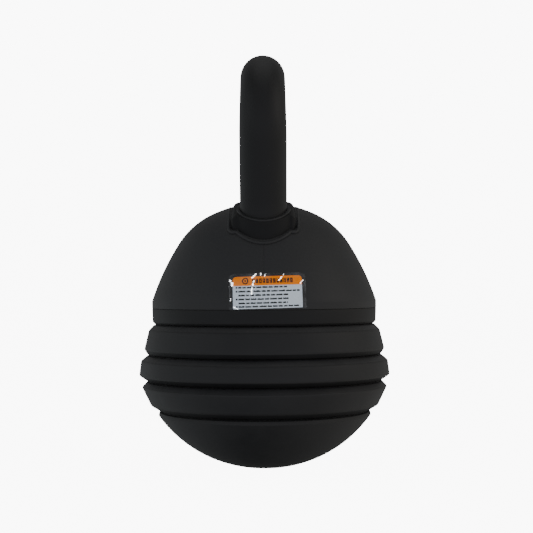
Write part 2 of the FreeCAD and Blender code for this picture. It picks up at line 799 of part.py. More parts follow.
def base_cover():
    """The shallow tray that closes the dome, with its screws, shaft bush and pads."""
    floor = cover_bottom + dim.cover_floor
    lip = dim.rim_radius - dim.shell_wall - 0.2
    tray = revolved("cover_tray", [
        (dim.cover_bore_radius, cover_bottom),
        (dim.cover_low_radius - 1.4, cover_bottom),
        (dim.cover_low_radius, cover_bottom + 1.6),
        (dim.rim_radius, dim.seam_level),
        (lip, dim.seam_level),
        (lip, dim.seam_level + 4.0),
        (lip - 2.5, dim.seam_level + 4.0),
        (lip - 2.5, floor),
        (dim.cover_hub_radius, floor),
        (dim.cover_hub_radius, floor + dim.cover_hub_height),
        (dim.cover_bore_radius, floor + dim.cover_hub_height),
    ])
    posts = []
    screws = []
    wells = []
    for index, angle in enumerate(COVER_SCREW_ANGLES, start=1):
        x, y = around(dim.cover_post_ring, angle)
        post = cylinder(f"cover_post_{index}", dim.post_radius, cover_bottom, dim.chassis_level, x, y)
        posts.append(post)
        low = cover_bottom + 1.0
        screws.append(cap_screw(f"cover_screw_{index}", x, y, low, low + 4.0, chassis_top - 2.0))
        wells.append(cylinder(f"cover_well_{index}", 3.5, cover_bottom - 1.0, cover_bottom + 1.0, x, y))
    screw_group = group("base_cover_screws", *screws)
    pad_group = pads("base_cover_pads", cover_bottom)
    sockets = dowel_sockets("cover_socket", cover_bottom)
    tray = fuse("cover_with_posts", tray, *posts)
    cover = cut("base_cover", tray, screw_group, pad_group, *wells, *sockets)
    bush_top = floor + dim.cover_hub_height
    bush = tube("shaft_bush", dim.shaft_radius + 0.1, dim.cover_bore_radius, cover_bottom, bush_top)
    return cover, screw_group, pad_group, bush


def chassis(cover_screws, dome_screws):
    """The steel plate that the legs bolt to and the shaft hangs from."""
    disc = cylinder("chassis_disc", dim.chassis_radius, dim.chassis_level, chassis_top)
    tools = [cylinder("chassis_bore", dim.shaft_radius + 0.8, dim.chassis_level, chassis_top)]
    for side in LEG_SIDES:
        word = "left" if side < 0 else "right"
        y = leg_place * side
        tools.append(cylinder(f"stud_hole_{word}", dim.stud_radius, dim.chassis_level, chassis_top, 0.0, y))
    lock_screws = []
    for index in range(4):
        x, y = around(dim.lock_screw_ring, dim.click_angle / 2.0 + 90.0 * index)
        name = f"lock_screw_{index + 1}"
        lock_screws.append(flat_head_screw(name, x, y, dim.lock_plate_top, 20.0, 3.0, 1.5))
    screw_group = group("lock_plate_screws", *lock_screws)
    plate = cut("chassis_plate", disc, *tools, cover_screws, dome_screws, screw_group)
    return plate, screw_group


def lock_plate(screws):
    """A crown ring with a slot for every click of the dial."""
    low, high = chassis_top, dim.lock_plate_top
    ring = tube("lock_plate_ring", dim.lock_plate_bore, dim.lock_plate_radius, low, high)
    slots = []
    count = round(180.0 / dim.click_angle.value)
    for index in range(count):
        low = dim.lock_plate_top - dim.lock_travel
        turn = dim.click_angle.value * index
        length = dim.lock_plate_radius * 2.0 + 4.0
        high = dim.lock_plate_top + 2.0
        slots.append(bar(f"lock_slot_{index}", length, dim.lock_slot_width, low, high, turn))
    return cut("lock_plate", ring, screws, *slots)


def rating_label():
    """A thin label on the front of the dome, with rounded upper corners."""
    film = skin("label_film", 0.0, dim.label_thickness, dim.label_bottom)
    half = dim.label_width / 2.0
    middle = dim.label_offset
    corner = dim.label_corner
    front, back = -100.0, -50.0
    low, high = dim.label_bottom, dim.label_top
    lower = box("label_lower", (middle - half, front, low), (middle + half, back, high - corner))
    upper = box("label_upper", (middle - half + corner, front, high - corner - 1.0),
                (middle + half - corner, back, high))
    discs = []
    for side in LEG_SIDES:
        word = "left" if side < 0 else "right"
        disc = doc.addObject("Part::Cylinder", f"label_corner_{word}")
        bind(disc, "Radius", corner)
        bind(disc, "Height", back - front)
        turn = FreeCAD.Rotation(FreeCAD.Vector(1, 0, 0), -90.0)
        disc.Placement = FreeCAD.Placement(FreeCAD.Vector(0, front, 0), turn)
        bind(disc, "Placement.Base.x", middle + (half - corner) * side)
        bind(disc, "Placement.Base.z", high - corner)
        discs.append(disc)
    return common("label", film, fuse("label_plan", lower, upper, *discs))


# ---------------------------------------------------------------- selector

def selector_parts():
    """The shaft that the weights hang from, its cams, spacers, end nut and dial."""
    shoulder = dim.weight_1_top - 0.6
    flange_low = chassis_top + 1.5
    flange_high = chassis_top + 9.0
    slot_low = chassis_top + 10.2
    slot_high = chassis_top + 18.8
    solid = fuse(
        "shaft_solid",
        hexagon("shaft_hex", dim.shaft_flats, dim.shaft_bottom, shoulder),
        cylinder("shaft_round", dim.shaft_radius, shoulder, flange_low),
        cylinder("shaft_flange", dim.flange_radius, flange_low, flange_high),
        cylinder("shaft_upper", dim.shaft_top_radius, flange_high, dim.shaft_top))
    bore = cylinder("shaft_bore", dim.shaft_bore_radius, dim.shaft_bottom, dim.shaft_top - 12.0)
    slot = bar("shaft_slot", dim.shaft_radius * 3.0, 4.6, slot_low, slot_high, 0.0)

    head_low = dim.dial_top - 2.0
    screw = cap_screw("dial_screw", 0.0, 0.0, head_low, head_low + 4.0, dim.shaft_top - 7.0, 4.75, 2.5)
    shaft = cut("selector_shaft", solid, bore, slot, screw)

    knob_low = dim.dial_top - 7.4
    disc = cylinder("dial_disc", dim.dial_radius, knob_low, dim.dial_top)
    stem = cylinder("dial_stem", 13.0, dim.shaft_top, knob_low)
    rib_length = dim.dial_radius * 2.0 - 4.0
    rib = bar("dial_rib", dim.dial_grip_width, rib_length, dim.dial_top - 1.0, dim.dial_grip_top, 0.0)
    well = cylinder("dial_well", 5.2, head_low, dim.dial_grip_top)
    knob = cut("dial_knob", fuse("dial_body", disc, stem, rib), well, screw)

    cams = []
    for number in WEIGHTS:
        low, high = cam_bottom(number), cam_top(number)
        start = dim.click_angle.value * (4 - number) - dim.lobe_angle.value / 2.0
        lobes = []
        for index, half in enumerate((0.0, 180.0), start=1):
            name = f"cam_{number}_lobe_{index}"
            lobe = cylinder(name, dim.cam_tip_radius, low, high, sector=dim.lobe_angle, turn=start + half)
            lobes.append(lobe)
        hub = cylinder(f"cam_{number}_hub", dim.cam_hub_radius, low, high)
        bore_hex = hexagon(f"cam_{number}_bore", dim.shaft_flats, low, high)
        cams.append(cut(f"cam_{number}", fuse(f"cam_{number}_body", hub, *lobes), bore_hex))

    spacers = []
    bore_radius = dim.shaft_flats / 2.0 / cosine(30.0) + 0.15
    for number in WEIGHTS:
        above = shoulder if number == 1 else cam_bottom(number - 1)
        spacers.append(tube(f"cam_spacer_{number}", bore_radius, dim.spacer_radius, cam_top(number), above))
    nut_top = cam_bottom(4)
    nut_low = nut_top - dim.end_nut_height
    nut = hexagon("nut_hex", dim.end_nut_flats, nut_low, nut_top)
    end_nut = cut("shaft_end_nut", nut, hexagon("nut_bore", dim.shaft_flats, nut_low, nut_top))
    return [shaft, screw, knob, end_nut, group("cam_spacers", *spacers)] + cams


def bearings():
    """The washer that the shaft's flange turns on, and the bush under the dial."""
    washer = tube("thrust_washer", dim.shaft_radius + 0.8, dim.flange_radius, chassis_top, chassis_top + 1.4)
    low, high = dim.bridge_hollow_top, dim.dial_seat_level - 2.4
    bush = tube("dial_bush", dim.shaft_top_radius + 0.3, dim.dial_bush_radius, low, high)
    return [washer, bush]


# ---------------------------------------------------------------- dial lock

def lock_parts():
    """The sprung rod inside the shaft and the two-lugged ring that it carries."""
    raised = dim.lock_plate_top + 0.5
    disc_low, disc_high = raised + 2.0, raised + 6.0
    pin_level = raised + 4.0
    disc = cylinder("lock_disc", dim.lock_plate_bore - 1.5, disc_low, disc_high)
    lug_length, lug_width = dim.lock_plate_radius * 2.0 - 2.0, dim.lock_slot_width - 0.8
    lugs = bar("lock_lugs", lug_length, lug_width, raised, disc_high, 0.0)
    hub_clear = cylinder("lock_bore", dim.shaft_top_radius + 0.3, raised - 1.0, disc_high + 1.0)
    inner_clear = cylinder("lock_recess", dim.lock_plate_bore - 1.5, raised - 1.0, disc_low)
    pin = doc.addObject("Part::Cylinder", "lock_pin")
    bind(pin, "Radius", 1.5)
    bind(pin, "Height", 2.0 * dim.lock_plate_bore - 6.0)
    pin.Placement = FreeCAD.Placement(FreeCAD.Vector(), FreeCAD.Rotation(FreeCAD.Vector(0, 1, 0), 90.0))
    bind(pin, "Placement.Base.x", -(dim.lock_plate_bore - 3.0))
    bind(pin, "Placement.Base.z", pin_level)
    ring = cut("lock_ring", fuse("lock_body", disc, lugs), hub_clear, inner_clear, pin)

    land = dim.shaft_bore_radius - 0.3
    rod_top = dim.shaft_top - 31.0
    stem = cylinder("rod_stem", dim.rod_radius, 0.0, rod_top)
    low_land = cylinder("rod_low_land", land, dim.shaft_bottom + 5.0, dim.shaft_bottom + 15.0)
    high_land = cylinder("rod_high_land", land, rod_top - 20.0, rod_top)
    rod = cut("release_rod", fuse("rod_body", stem, low_land, high_land), pin)

    wire, coil = dim.spring_wire_radius, dim.spring_radius
    bottom, top = rod_top + wire, dim.shaft_top - 12.0 - wire
    helix = doc.addObject("Part::Helix", "spring_path")
    bind(helix, "Radius", coil)
    bind(helix, "Height", top - bottom)
    bind(helix, "Pitch", (top - bottom) / dim.spring_turns)
    bind(helix, "Placement.Base.z", bottom)
    ring_wire = doc.addObject("Part::Circle", "spring_wire")
    bind(ring_wire, "Radius", wire)
    turn = FreeCAD.Rotation(FreeCAD.Vector(1, 0, 0), 90.0)
    ring_wire.Placement = FreeCAD.Placement(FreeCAD.Vector(), turn)
    bind(ring_wire, "Placement.Base.x", coil)
    bind(ring_wire, "Placement.Base.z", bottom)
    spring = doc.addObject("Part::Sweep", "return_spring")
    spring.Sections = [ring_wire]
    spring.Spine = (helix, ["Edge1"])
    spring.Solid = True
    spring.Frenet = True
    return [rod, ring, pin, spring]


# ---------------------------------------------------------------- assemble, check and write

nodes = []
for number in WEIGHTS:
    nodes += weight(number)
core, grip, grip_bar, washers, nuts = handle_parts()
cover, cover_screws, cover_pads, bush = base_cover()
shells, dome_screws = dome_and_screws()
plate, lock_screws = chassis(cover_screws, dome_screws)
nodes += [core, grip, washers, nuts, bridge(grip_bar), cover, cover_screws, cover_pads, bush]
nodes += shells + [dome_screws, plate, lock_screws, lock_plate(lock_screws), rating_label()]
nodes += selector_parts() + bearings() + lock_parts()
doc.recompute()

for thing in doc.Objects:
    if "Invalid" in thing.State or "Error" in thing.State:
        raise RuntimeError(f"{thing.Name} failed: {thing.State}")
for node in nodes:
    if node.Shape.isNull() or not node.Shape.isValid() or not node.Shape.Solids:
        raise RuntimeError(f"{node.Label} has no valid solid")
for node in nodes:
    node.Shape.exportStep(f"parts/{node.Label}.step")
    print(node.Label, len(node.Shape.Solids), round(node.Shape.Volume / 1000.0, 2))
print(len(nodes), "sub-parts")
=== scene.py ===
import math
import random

import bmesh
import bpy
from mathutils import Matrix, Vector


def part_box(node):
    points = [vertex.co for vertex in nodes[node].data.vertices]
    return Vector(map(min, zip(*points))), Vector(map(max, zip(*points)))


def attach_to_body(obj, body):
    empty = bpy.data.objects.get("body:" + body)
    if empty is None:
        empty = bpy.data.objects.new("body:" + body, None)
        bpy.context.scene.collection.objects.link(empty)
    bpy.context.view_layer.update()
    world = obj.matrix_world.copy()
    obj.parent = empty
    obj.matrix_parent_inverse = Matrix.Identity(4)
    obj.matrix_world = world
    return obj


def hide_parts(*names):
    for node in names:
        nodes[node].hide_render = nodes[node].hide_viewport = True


# An adjustable kettlebell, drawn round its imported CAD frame.
# The castings, shells, bridge, grip, label and dial are rebuilt here as fine meshes that stand for
# their CAD nodes; the fasteners, cams and shafts are the CAD nodes with better materials.

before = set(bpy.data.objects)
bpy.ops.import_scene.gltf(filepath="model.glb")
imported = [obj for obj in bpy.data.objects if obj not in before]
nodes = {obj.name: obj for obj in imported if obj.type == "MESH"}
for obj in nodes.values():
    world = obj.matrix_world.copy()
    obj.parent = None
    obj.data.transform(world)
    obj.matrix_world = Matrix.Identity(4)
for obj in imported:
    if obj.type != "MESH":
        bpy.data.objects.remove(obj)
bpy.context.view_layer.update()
MM = 0.001
TURN = 2.0 * math.pi

# ---------------------------------------------------------------- sizes, in millimetres


def top_of(node):
    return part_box(node)[1].z / MM


def bottom_of(node):
    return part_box(node)[0].z / MM


def half_width_of(node):
    """Half of a node's width, to a tenth of a millimetre."""
    low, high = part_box(node)
    return round((high.x - low.x) / 2.0 / MM, 1)


WEIGHT_TOP = {number: top_of(f"catch_ring_{number}") for number in (1, 2, 3, 4)}
WEIGHT_GAP = 0.8
FOOT_RADIUS = 19.5
BOWL_RADIUS = 94.5
BOWL_EDGE = 79.5
BOWL_HOLE = 5.2
CATCH_RADIUS = half_width_of("catch_ring_1")
CATCH_THICKNESS = 4.0
BORE_RADIUS = 26.0
DOWEL_RING = 60.0
DOWEL_HOLE = 4.05
DOWEL_SOCKET = 4.6
PAD_RECESS = 8.05
DOWEL_ANGLES = (30.0, 150.0, 270.0)
PAD_ANGLES = (90.0, 210.0, 330.0)

COVER_BOTTOM = bottom_of("base_cover")
COVER_FLOOR = 3.0
COVER_BOSS = 21.0
COVER_BORE = 16.5
COVER_SCREW_RING = 52.0
COVER_SCREWS = 4
COVER_SCREW_HOLE = 3.55
SEAM = bottom_of("dome_shell_left")
RIM_RADIUS = half_width_of("base_cover")
RIM_TOP = 123.7
DOME_TOP = 197.2
# The dome's arcs from the crown down: radius, and how far each has turned from straight up at its end.
DOME_ARCS = ((91.8, 24.4), (60.3, 57.4), (188.0, 90.0))
SHELL_WALL = 3.5
LABEL_TILT = math.radians(1.3)

HANDLE_TOP = top_of("handle_grip")
LEG_PLACE = 43.5
LEG_BEND_LEVEL = 180.0
LEG_BEND_RADIUS = 60.0
LEG_LEAN = math.radians(18.0)
CORNER_RADIUS = 36.0
TOP_ARCH_RADIUS = 200.0
LEG_RADIUS = 16.9
TOP_GRIP_RADIUS = 16.2
TAPER_LEVEL = 235.0
TAPER_HEIGHT = 45.0
LEG_CLEARANCE = 0.3

BRIDGE_HALF_WIDTH = half_width_of("handle_bridge")
BRIDGE_EAR_PLACE = 51.0
BRIDGE_EAR_RADIUS = 3.0
BRIDGE_NOTCH_RADIUS = 2.0
BRIDGE_NOSE_PLACE = 40.0
BRIDGE_NOSE_RADIUS = 23.1
BRIDGE_ARCH_RADIUS = 122.0
BRIDGE_SHOULDER_RADIUS = 5.0
BRIDGE_LIP_RADIUS = 19.4
BRIDGE_LIP_RISE = 1.0
BRIDGE_TOP = 197.6
BRIDGE_BOTTOM = bottom_of("handle_bridge")
BRIDGE_HOLLOW = (17.5, 22.0)
BRIDGE_HOLE = 13.5

DIAL_RADIUS = half_width_of("dial_knob")
DIAL_TOP = 198.2
NUMBER_RING = 12.2
POINTER_RING = 19.0
RELEASE_HOLE = 5.2
DIAL_NUMBERS = ("4", "8", "11", "15", "18")
POINTER_ANGLE = 45.0
CLICK = 22.5

PAST = 2.0  # how far a cutter runs past a face


# ---------------------------------------------------------------- mesh helpers

def add_object(name, mesh):
    piece = bpy.data.objects.new(name, mesh)
    bpy.context.scene.collection.objects.link(piece)
    return piece


def finish_mesh(mesh, crease_degrees=35.0):
    """Outward normals, smooth shading and sharp edges where faces meet at an angle."""
    work = bmesh.new()
    work.from_mesh(mesh)
    bmesh.ops.remove_doubles(work, verts=work.verts, dist=1e-6)
    bmesh.ops.recalc_face_normals(work, faces=work.faces)
    work.to_mesh(mesh)
    work.free()
    mesh.shade_smooth()
    mesh.set_sharp_from_angle(angle=math.radians(crease_degrees))


def piece_from(name, work, crease_degrees=40.0, smooth=True):
    """An object from a filled bmesh, its faces turned outwards."""
    mesh = bpy.data.meshes.new(name)
    bmesh.ops.recalc_face_normals(work, faces=work.faces)
    work.to_mesh(mesh)
    work.free()
    if smooth:
        mesh.shade_smooth()
        mesh.set_sharp_from_angle(angle=math.radians(crease_degrees))
    return add_object(name, mesh)


def skin(work, rings, closed=False):
    """Faces from each ring of vertices to the next, closed in a loop or capped at both ends."""
    following = rings[1:] + rings[:1] if closed else rings[1:]
    for first, second in zip(rings, following):
        for side in range(len(first)):
            after = (side + 1) % len(first)
            work.faces.new((first[side], first[after], second[after], second[side]))
    if not closed:
        work.faces.new(list(reversed(rings[0])))
        work.faces.new(rings[-1])


def arc_points(start, end, radius, step_degrees=2.0):
    """Points after start up to end on the shorter arc; a positive radius bulges to the left."""
    chord = end - start
    left = Vector((-chord.y, chord.x)).normalized()
    side = 1.0 if radius > 0 else -1.0
    reach = math.sqrt(max(radius * radius - chord.length_squared / 4.0, 0.0))
    centre = (start + end) / 2.0 - left * reach * side
    first, last = start - centre, end - centre
    sweep = first.angle_signed(last)
    count = max(2, math.ceil(abs(math.degrees(sweep)) / step_degrees))
    points = []
    for index in range(1, count + 1):
        angle = -sweep * index / count
        spun = Vector((first.x * math.cos(angle) - first.y * math.sin(angle),
                       first.x * math.sin(angle) + first.y * math.cos(angle)))
        points.append(centre + spun)
    points[-1] = end.copy()
    return points


def rounded(points, radius, steps=4):
    """A closed outline with its corners rounded. A point is (r, z), or (r, z, radius) at an arc's end."""
    result = []
    count = len(points)
    for index, point in enumerate(points):
        here = Vector(point[:2])
        before = Vector(points[index - 1][:2])
        after = Vector(points[(index + 1) % count][:2])
        is_arc_end = len(point) > 2 and point[2] is not None
        next_arc = len(points[(index + 1) % count]) > 2 and points[(index + 1) % count][2] is not None
        if here.x < 1e-6 or is_arc_end or next_arc:
            result.append(tuple(point[:3]))
            continue
        into, out = (before - here), (after - here)
        reach = min(radius, into.length * 0.45, out.length * 0.45)
        enter, leave = here + into.normalized() * reach, here + out.normalized() * reach
        result.append((enter.x, enter.y))
        for step in range(1, steps):
            share = step / steps
            curve = enter * (1 - share) ** 2 + here * 2 * share * (1 - share) + leave * share ** 2
            result.append((curve.x, curve.y))
        result.append((leave.x, leave.y))
    return result


def trace(points):
    """Turn an outline with arcs into plain points."""
    flat = []
    count = len(points)
    for index in range(count):
        start = Vector(points[index][:2])
        goal = points[(index + 1) % count]
        flat.append(start)
        if len(goal) > 2 and goal[2] is not None:
            flat.extend(arc_points(start, Vector(goal[:2]), goal[2])[:-1])
    return flat


def lathe(name, outline, segments=240, crease_degrees=30.0):
    """A turned piece from a closed half outline of (radius, height) in millimetres."""
    profile = trace(outline)
    work = bmesh.new()
    rings = []
    for index in range(segments):
        angle = TURN * index / segments
        turned = [Vector((point.x * math.cos(angle), point.x * math.sin(angle), point.y)) for point in profile]
        rings.append([work.verts.new(place * MM) for place in turned])
    skin(work, rings, closed=True)
    # Points on the axis become one, and the faces that this flattens go.
    bmesh.ops.remove_doubles(work, verts=work.verts, dist=1e-6)
    flat = [face for face in work.faces if face.calc_area() < 1e-14]
    bmesh.ops.delete(work, geom=flat, context="FACES")
    return piece_from(name, work, crease_degrees)


def prism(name, plan, low, high):
    """An upright prism over a closed plan of (x, y) points, all in millimetres."""
    work = bmesh.new()
    rings = [[work.verts.new(Vector((x, y, level)) * MM) for x, y in plan] for level in (low, high)]
    skin(work, rings)
    return piece_from(name, work, 35.0)


def circle_plan(radius, x=0.0, y=0.0, steps=64, start=0.0, sweep=TURN):
    whole = abs(sweep - TURN) < 1e-9
    count = steps if whole else steps + 1
    points = []
    for index in range(count):
        angle = start + sweep * index / steps
        points.append((x + radius * math.cos(angle), y + radius * math.sin(angle)))
    return points


def disc_cutter(radius, x, y, low, high, steps=48):
    return prism("cutter", circle_plan(radius, x, y, steps), low, high)


def settle(piece):
    """Turn a piece's modifiers into mesh."""
    bpy.context.view_layer.update()
    graph = bpy.context.evaluated_depsgraph_get()
    result = bpy.data.meshes.new_from_object(piece.evaluated_get(graph))
    piece.modifiers.clear()
    piece.data = result
    result.name = piece.name
    return result


def carve(piece, cutters, operation="DIFFERENCE", crease_degrees=30.0):
    """Cut, join or keep what is common, then drop the cutters."""
    for cutter in cutters:
        step = piece.modifiers.new("carve", "BOOLEAN")
        step.object = cutter
        step.operation = operation
        step.solver = "EXACT"
    result = settle(piece)
    for cutter in cutters:
        bpy.data.objects.remove(cutter)
    finish_mesh(result, crease_degrees)


def soften(piece, width, segments=3, angle_degrees=40.0, crease_degrees=30.0):
    """Bevel the sharp edges of a piece by a width in millimetres."""
    step = piece.modifiers.new("soften", "BEVEL")
    step.width = width * MM
    step.segments = segments
    step.limit_method = "ANGLE"
    step.angle_limit = math.radians(angle_degrees)
    step.use_clamp_overlap = True
    result = settle(piece)
    result.shade_smooth()
    result.set_sharp_from_angle(angle=math.radians(crease_degrees))


def join(name, pieces):
    """One object from several, keeping their materials."""
    work = bmesh.new()
    slots = []
    for piece in pieces:
        offset = len(slots)
        slots.extend(piece.data.materials)
        before = len(work.faces)
        work.from_mesh(piece.data)
        work.faces.ensure_lookup_table()
        for face in work.faces[before:]:
            face.material_index += offset
    mesh = bpy.data.meshes.new(name)
    work.to_mesh(mesh)
    work.free()
    for material in slots:
        mesh.materials.append(material)
    for piece in pieces:
        bpy.data.objects.remove(piece)
    return add_object(name, mesh)


def around(radius, degrees):
    angle = math.radians(degrees)
    return radius * math.cos(angle), radius * math.sin(angle)


def attach(piece, body, slot, *replaced):
    """Attach a piece to its body and hide the CAD nodes it stands for."""
    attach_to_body(piece, body)
    if replaced:
        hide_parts(*replaced)


def finish(piece, materials, body, slot, *replaced):
    """Give a piece its materials and attach it."""
    piece.data.materials.clear()
    for material in materials:
        piece.data.materials.append(material)
    attach(piece, body, slot, *replaced)


# ---------------------------------------------------------------- materials

def new_node(tree, kind, **inputs):
    """A new node with some of its sockets set; a space in a socket's name is an underscore here."""
    node = tree.nodes.new(kind)
    for name, value in inputs.items():
        node.inputs[name.replace("_", " ")].default_value = value
    return node


class Nodes:
    """A short way to wire a material's nodes."""

    def __init__(self, name):
        self.material = bpy.data.materials.new(name)
        self.material.use_nodes = True
        self.tree = self.material.node_tree
        self.shader = self.tree.nodes["Principled BSDF"]
        self.place = new_node(self.tree, "ShaderNodeTexCoord").outputs["Object"]

    def noise(self, scale, detail=3.0, roughness=0.5, stretch=None):
        node = new_node(self.tree, "ShaderNodeTexNoise", Scale=scale, Detail=detail, Roughness=roughness)
        source = self.place
        if stretch:
            mapping = new_node(self.tree, "ShaderNodeMapping", Scale=stretch)
            self.tree.links.new(source, mapping.inputs["Vector"])
            source = mapping.outputs["Vector"]
        self.tree.links.new(source, node.inputs["Vector"])
        return node.outputs["Fac"]

    def cells(self, scale):
        node = new_node(self.tree, "ShaderNodeTexVoronoi", Scale=scale)
        self.tree.links.new(self.place, node.inputs["Vector"])
        return node.outputs["Distance"]

    def ramp(self, value, low, high, low_value, high_value):
        """Map a range of a value to another range."""
        node = new_node(self.tree, "ShaderNodeMapRange", From_Min=low, From_Max=high,
                        To_Min=low_value, To_Max=high_value)
        self.tree.links.new(value, node.inputs["Value"])
        return node.outputs["Result"]

    def mix(self, factor, first, second):
        """Mix two colours, each a tuple or a socket."""
        node = new_node(self.tree, "ShaderNodeMix")
        node.data_type = "RGBA"
        self.tree.links.new(factor, node.inputs["Factor"])
        for socket, colour in ((node.inputs["A"], first), (node.inputs["B"], second)):
            if isinstance(colour, tuple):
                socket.default_value = colour
            else:
                self.tree.links.new(colour, socket)
        return node.outputs["Result"]

    def blend(self, first, second, weight):
        """first + second x weight, for stacking bump heights."""
        node = new_node(self.tree, "ShaderNodeMath")
        node.operation = "MULTIPLY_ADD"
        self.tree.links.new(second, node.inputs[0])
        node.inputs[1].default_value = weight
        self.tree.links.new(first, node.inputs[2])
        return node.outputs["Value"]

    def bump(self, height, strength, distance):
        node = new_node(self.tree, "ShaderNodeBump", Strength=strength, Distance=distance)
        self.tree.links.new(height, node.inputs["Height"])
        self.wire(node.outputs["Normal"], "Normal")

    def mottle(self, pattern, first, second, roughness, swing=0.04):
        """Colour from first to second, and roughness about a value, both following one pattern."""
        self.wire(self.mix(pattern, first, second), "Base Color")
        self.wire(self.ramp(pattern, 0.3, 0.7, roughness - swing, roughness + swing), "Roughness")

    def wire(self, value, socket):
        self.tree.links.new(value, self.shader.inputs[socket])

    def set(self, **values):
        for name, value in values.items():
            self.shader.inputs[name.replace("_", " ")].default_value = value


def grey(value, warmth=0.0):
    return (value * (1.0 + warmth), value, value * (1.0 - warmth), 1.0)


def powder_coat(name, base, shine):
    """Black powder coat over cast iron: an even orange-peel skin with faint dull patches."""
    paint = Nodes(name)
    patches = paint.noise(26.0, 4.0, 0.6)
    peel = paint.noise(620.0, 2.0, 0.5)
    share = paint.ramp(patches, 0.35, 0.65, 0.0, 1.0)
    paint.wire(paint.mix(share, grey(base * 0.85, -0.03), grey(base * 1.15, -0.02)), "Base Color")
    paint.wire(paint.ramp(patches, 0.3, 0.7, 0.50, 0.60), "Roughness")
    paint.bump(paint.blend(peel, paint.noise(90.0, 2.0), 0.6), 0.16, 0.0004)
    paint.set(Specular_IOR_Level=shine)
    return paint.material


def moulded_black(name, base, grain_scale, roughness, strength, shine=0.25):
    """Black moulded plastic with a fine spark-eroded grain."""
    paint = Nodes(name)
    cloud = paint.noise(14.0, 3.0)
    grain = paint.cells(grain_scale)
    paint.mottle(cloud, grey(base * 0.9, -0.03), grey(base * 1.12, -0.02), roughness)
    paint.bump(paint.blend(grain, paint.noise(grain_scale * 1.7, 2.0), 0.5), strength, 0.00015)
    paint.set(Specular_IOR_Level=shine)
    return paint.material


def grip_rubber():
    """A dull, close-grained moulded grip with the faint polish of use."""
    paint = Nodes("grip_rubber")
    wear = paint.noise(9.0, 3.0, 0.55, stretch=(1.0, 1.0, 0.5))
    paint.mottle(wear, grey(0.0058, -0.03), grey(0.0085, -0.02), 0.56, 0.06)
    paint.bump(paint.blend(paint.cells(1500.0), paint.noise(420.0, 3.0), 0.7), 0.16, 0.00016)
    paint.set(Specular_IOR_Level=0.25)
    return paint.material


def plain_plastic(name, scale, detail, first, second, relief, roughness):
    paint = Nodes(name)
    speckle = paint.noise(scale, detail)
    paint.wire(paint.mix(speckle, first, second), "Base Color")
    paint.bump(speckle, relief, 0.0002)
    paint.set(Roughness=roughness)
    return paint.material


def steel(name, tone, roughness, stretch, scale=160.0):
    """Turned or rolled steel: fine streaks along one direction, with a few darker stains."""
    paint = Nodes(name)
    streaks = paint.noise(scale, 5.0, 0.65, stretch=stretch)
    stains = paint.noise(30.0, 3.0, 0.6)
    base = paint.mix(paint.ramp(streaks, 0.35, 0.65, 0.0, 1.0), grey(tone * 0.82, 0.01), grey(tone, 0.01))
    stained = paint.ramp(stains, 0.45, 0.75, 0.0, 0.5)
    paint.wire(paint.mix(stained, base, grey(tone * 0.6, 0.04)), "Base Color")
    paint.wire(paint.ramp(streaks, 0.3, 0.7, roughness - 0.07, roughness + 0.07), "Roughness")
    paint.bump(streaks, 0.12, 0.0002)
    paint.set(Metallic=1.0)
    return paint.material


def brass():
    paint = Nodes("bearing_brass")
    streaks = paint.noise(200.0, 4.0, 0.6, stretch=(1.0, 1.0, 8.0))
    paint.mottle(streaks, (0.5, 0.33, 0.11, 1.0), (0.66, 0.46, 0.18, 1.0), 0.34, 0.06)
    paint.bump(streaks, 0.1, 0.0002)
    paint.set(Metallic=1.0)
    return paint.material


def printed(name, first, second, roughness, shine=0.5):
    """Ink or paper: nearly even, with a faint mottle."""
    paint = Nodes(name)
    paint.mottle(paint.noise(900.0, 3.0), first, second, roughness)
    paint.bump(paint.noise(160.0, 2.0), 0.05, 0.0002)
    paint.set(Specular_IOR_Level=shine)
    return paint.material


def clear_film(name, alpha):
    """The clear sheet over the label, crinkled where it isn't stuck."""
    paint = Nodes(name)
    crinkle = paint.noise(330.0, 4.0, 0.6)
    paint.bump(crinkle, 0.5, 0.0006)
    paint.wire(paint.ramp(paint.noise(110.0, 3.0), 0.45, 0.7, alpha * 0.25, alpha * 1.8), "Alpha")
    paint.set(Base_Color=(0.9, 0.93, 0.96, 1.0), Roughness=0.12)
    paint.material.surface_render_method = "BLENDED"
    return paint.material


def glowing_crease_glint():
    """A near-white glossy crease in the clear sheet that also glows in fine speckles: the glow is a painted
    glint.
    """
    paint = Nodes("glowing_crease_glint")
    glint_speckle = paint.noise(2600.0, 2.0)
    paint.wire(paint.mix(glint_speckle, (0.8, 0.82, 0.85, 1.0), (1.0, 1.0, 1.0, 1.0)), "Base Color")
    paint.wire(paint.ramp(glint_speckle, 0.35, 0.55, 0.6, 4.0), "Emission Strength")
    paint.set(Roughness=0.2, Emission_Color=(1.0, 1.0, 1.0, 1.0))
    return paint.material


IRON = powder_coat("powder_coat", 0.0135, 0.25)
# A darker, duller copy of the powder coat for the bevels under each band: painted shade in the grooves.
SHADED_GROOVE_IRON = powder_coat("powder_coat_painted_groove_shade", 0.008, 0.15)
# A paler copy of the powder coat for the bevels above each band: painted light on the upper bevels.
LIT_BEVEL_IRON = powder_coat("powder_coat_painted_bevel_light", 0.020, 0.3)
SHELL = moulded_black("dome_grain", 0.020, 1100.0, 0.56, 0.2)
COVER = moulded_black("cover_grain", 0.0070, 1100.0, 0.58, 0.2)
BRIDGE = moulded_black("bridge_grain", 0.007, 1300.0, 0.64, 0.2, 0.18)
DIAL = moulded_black("dial_grain", 0.018, 1500.0, 0.5, 0.2)
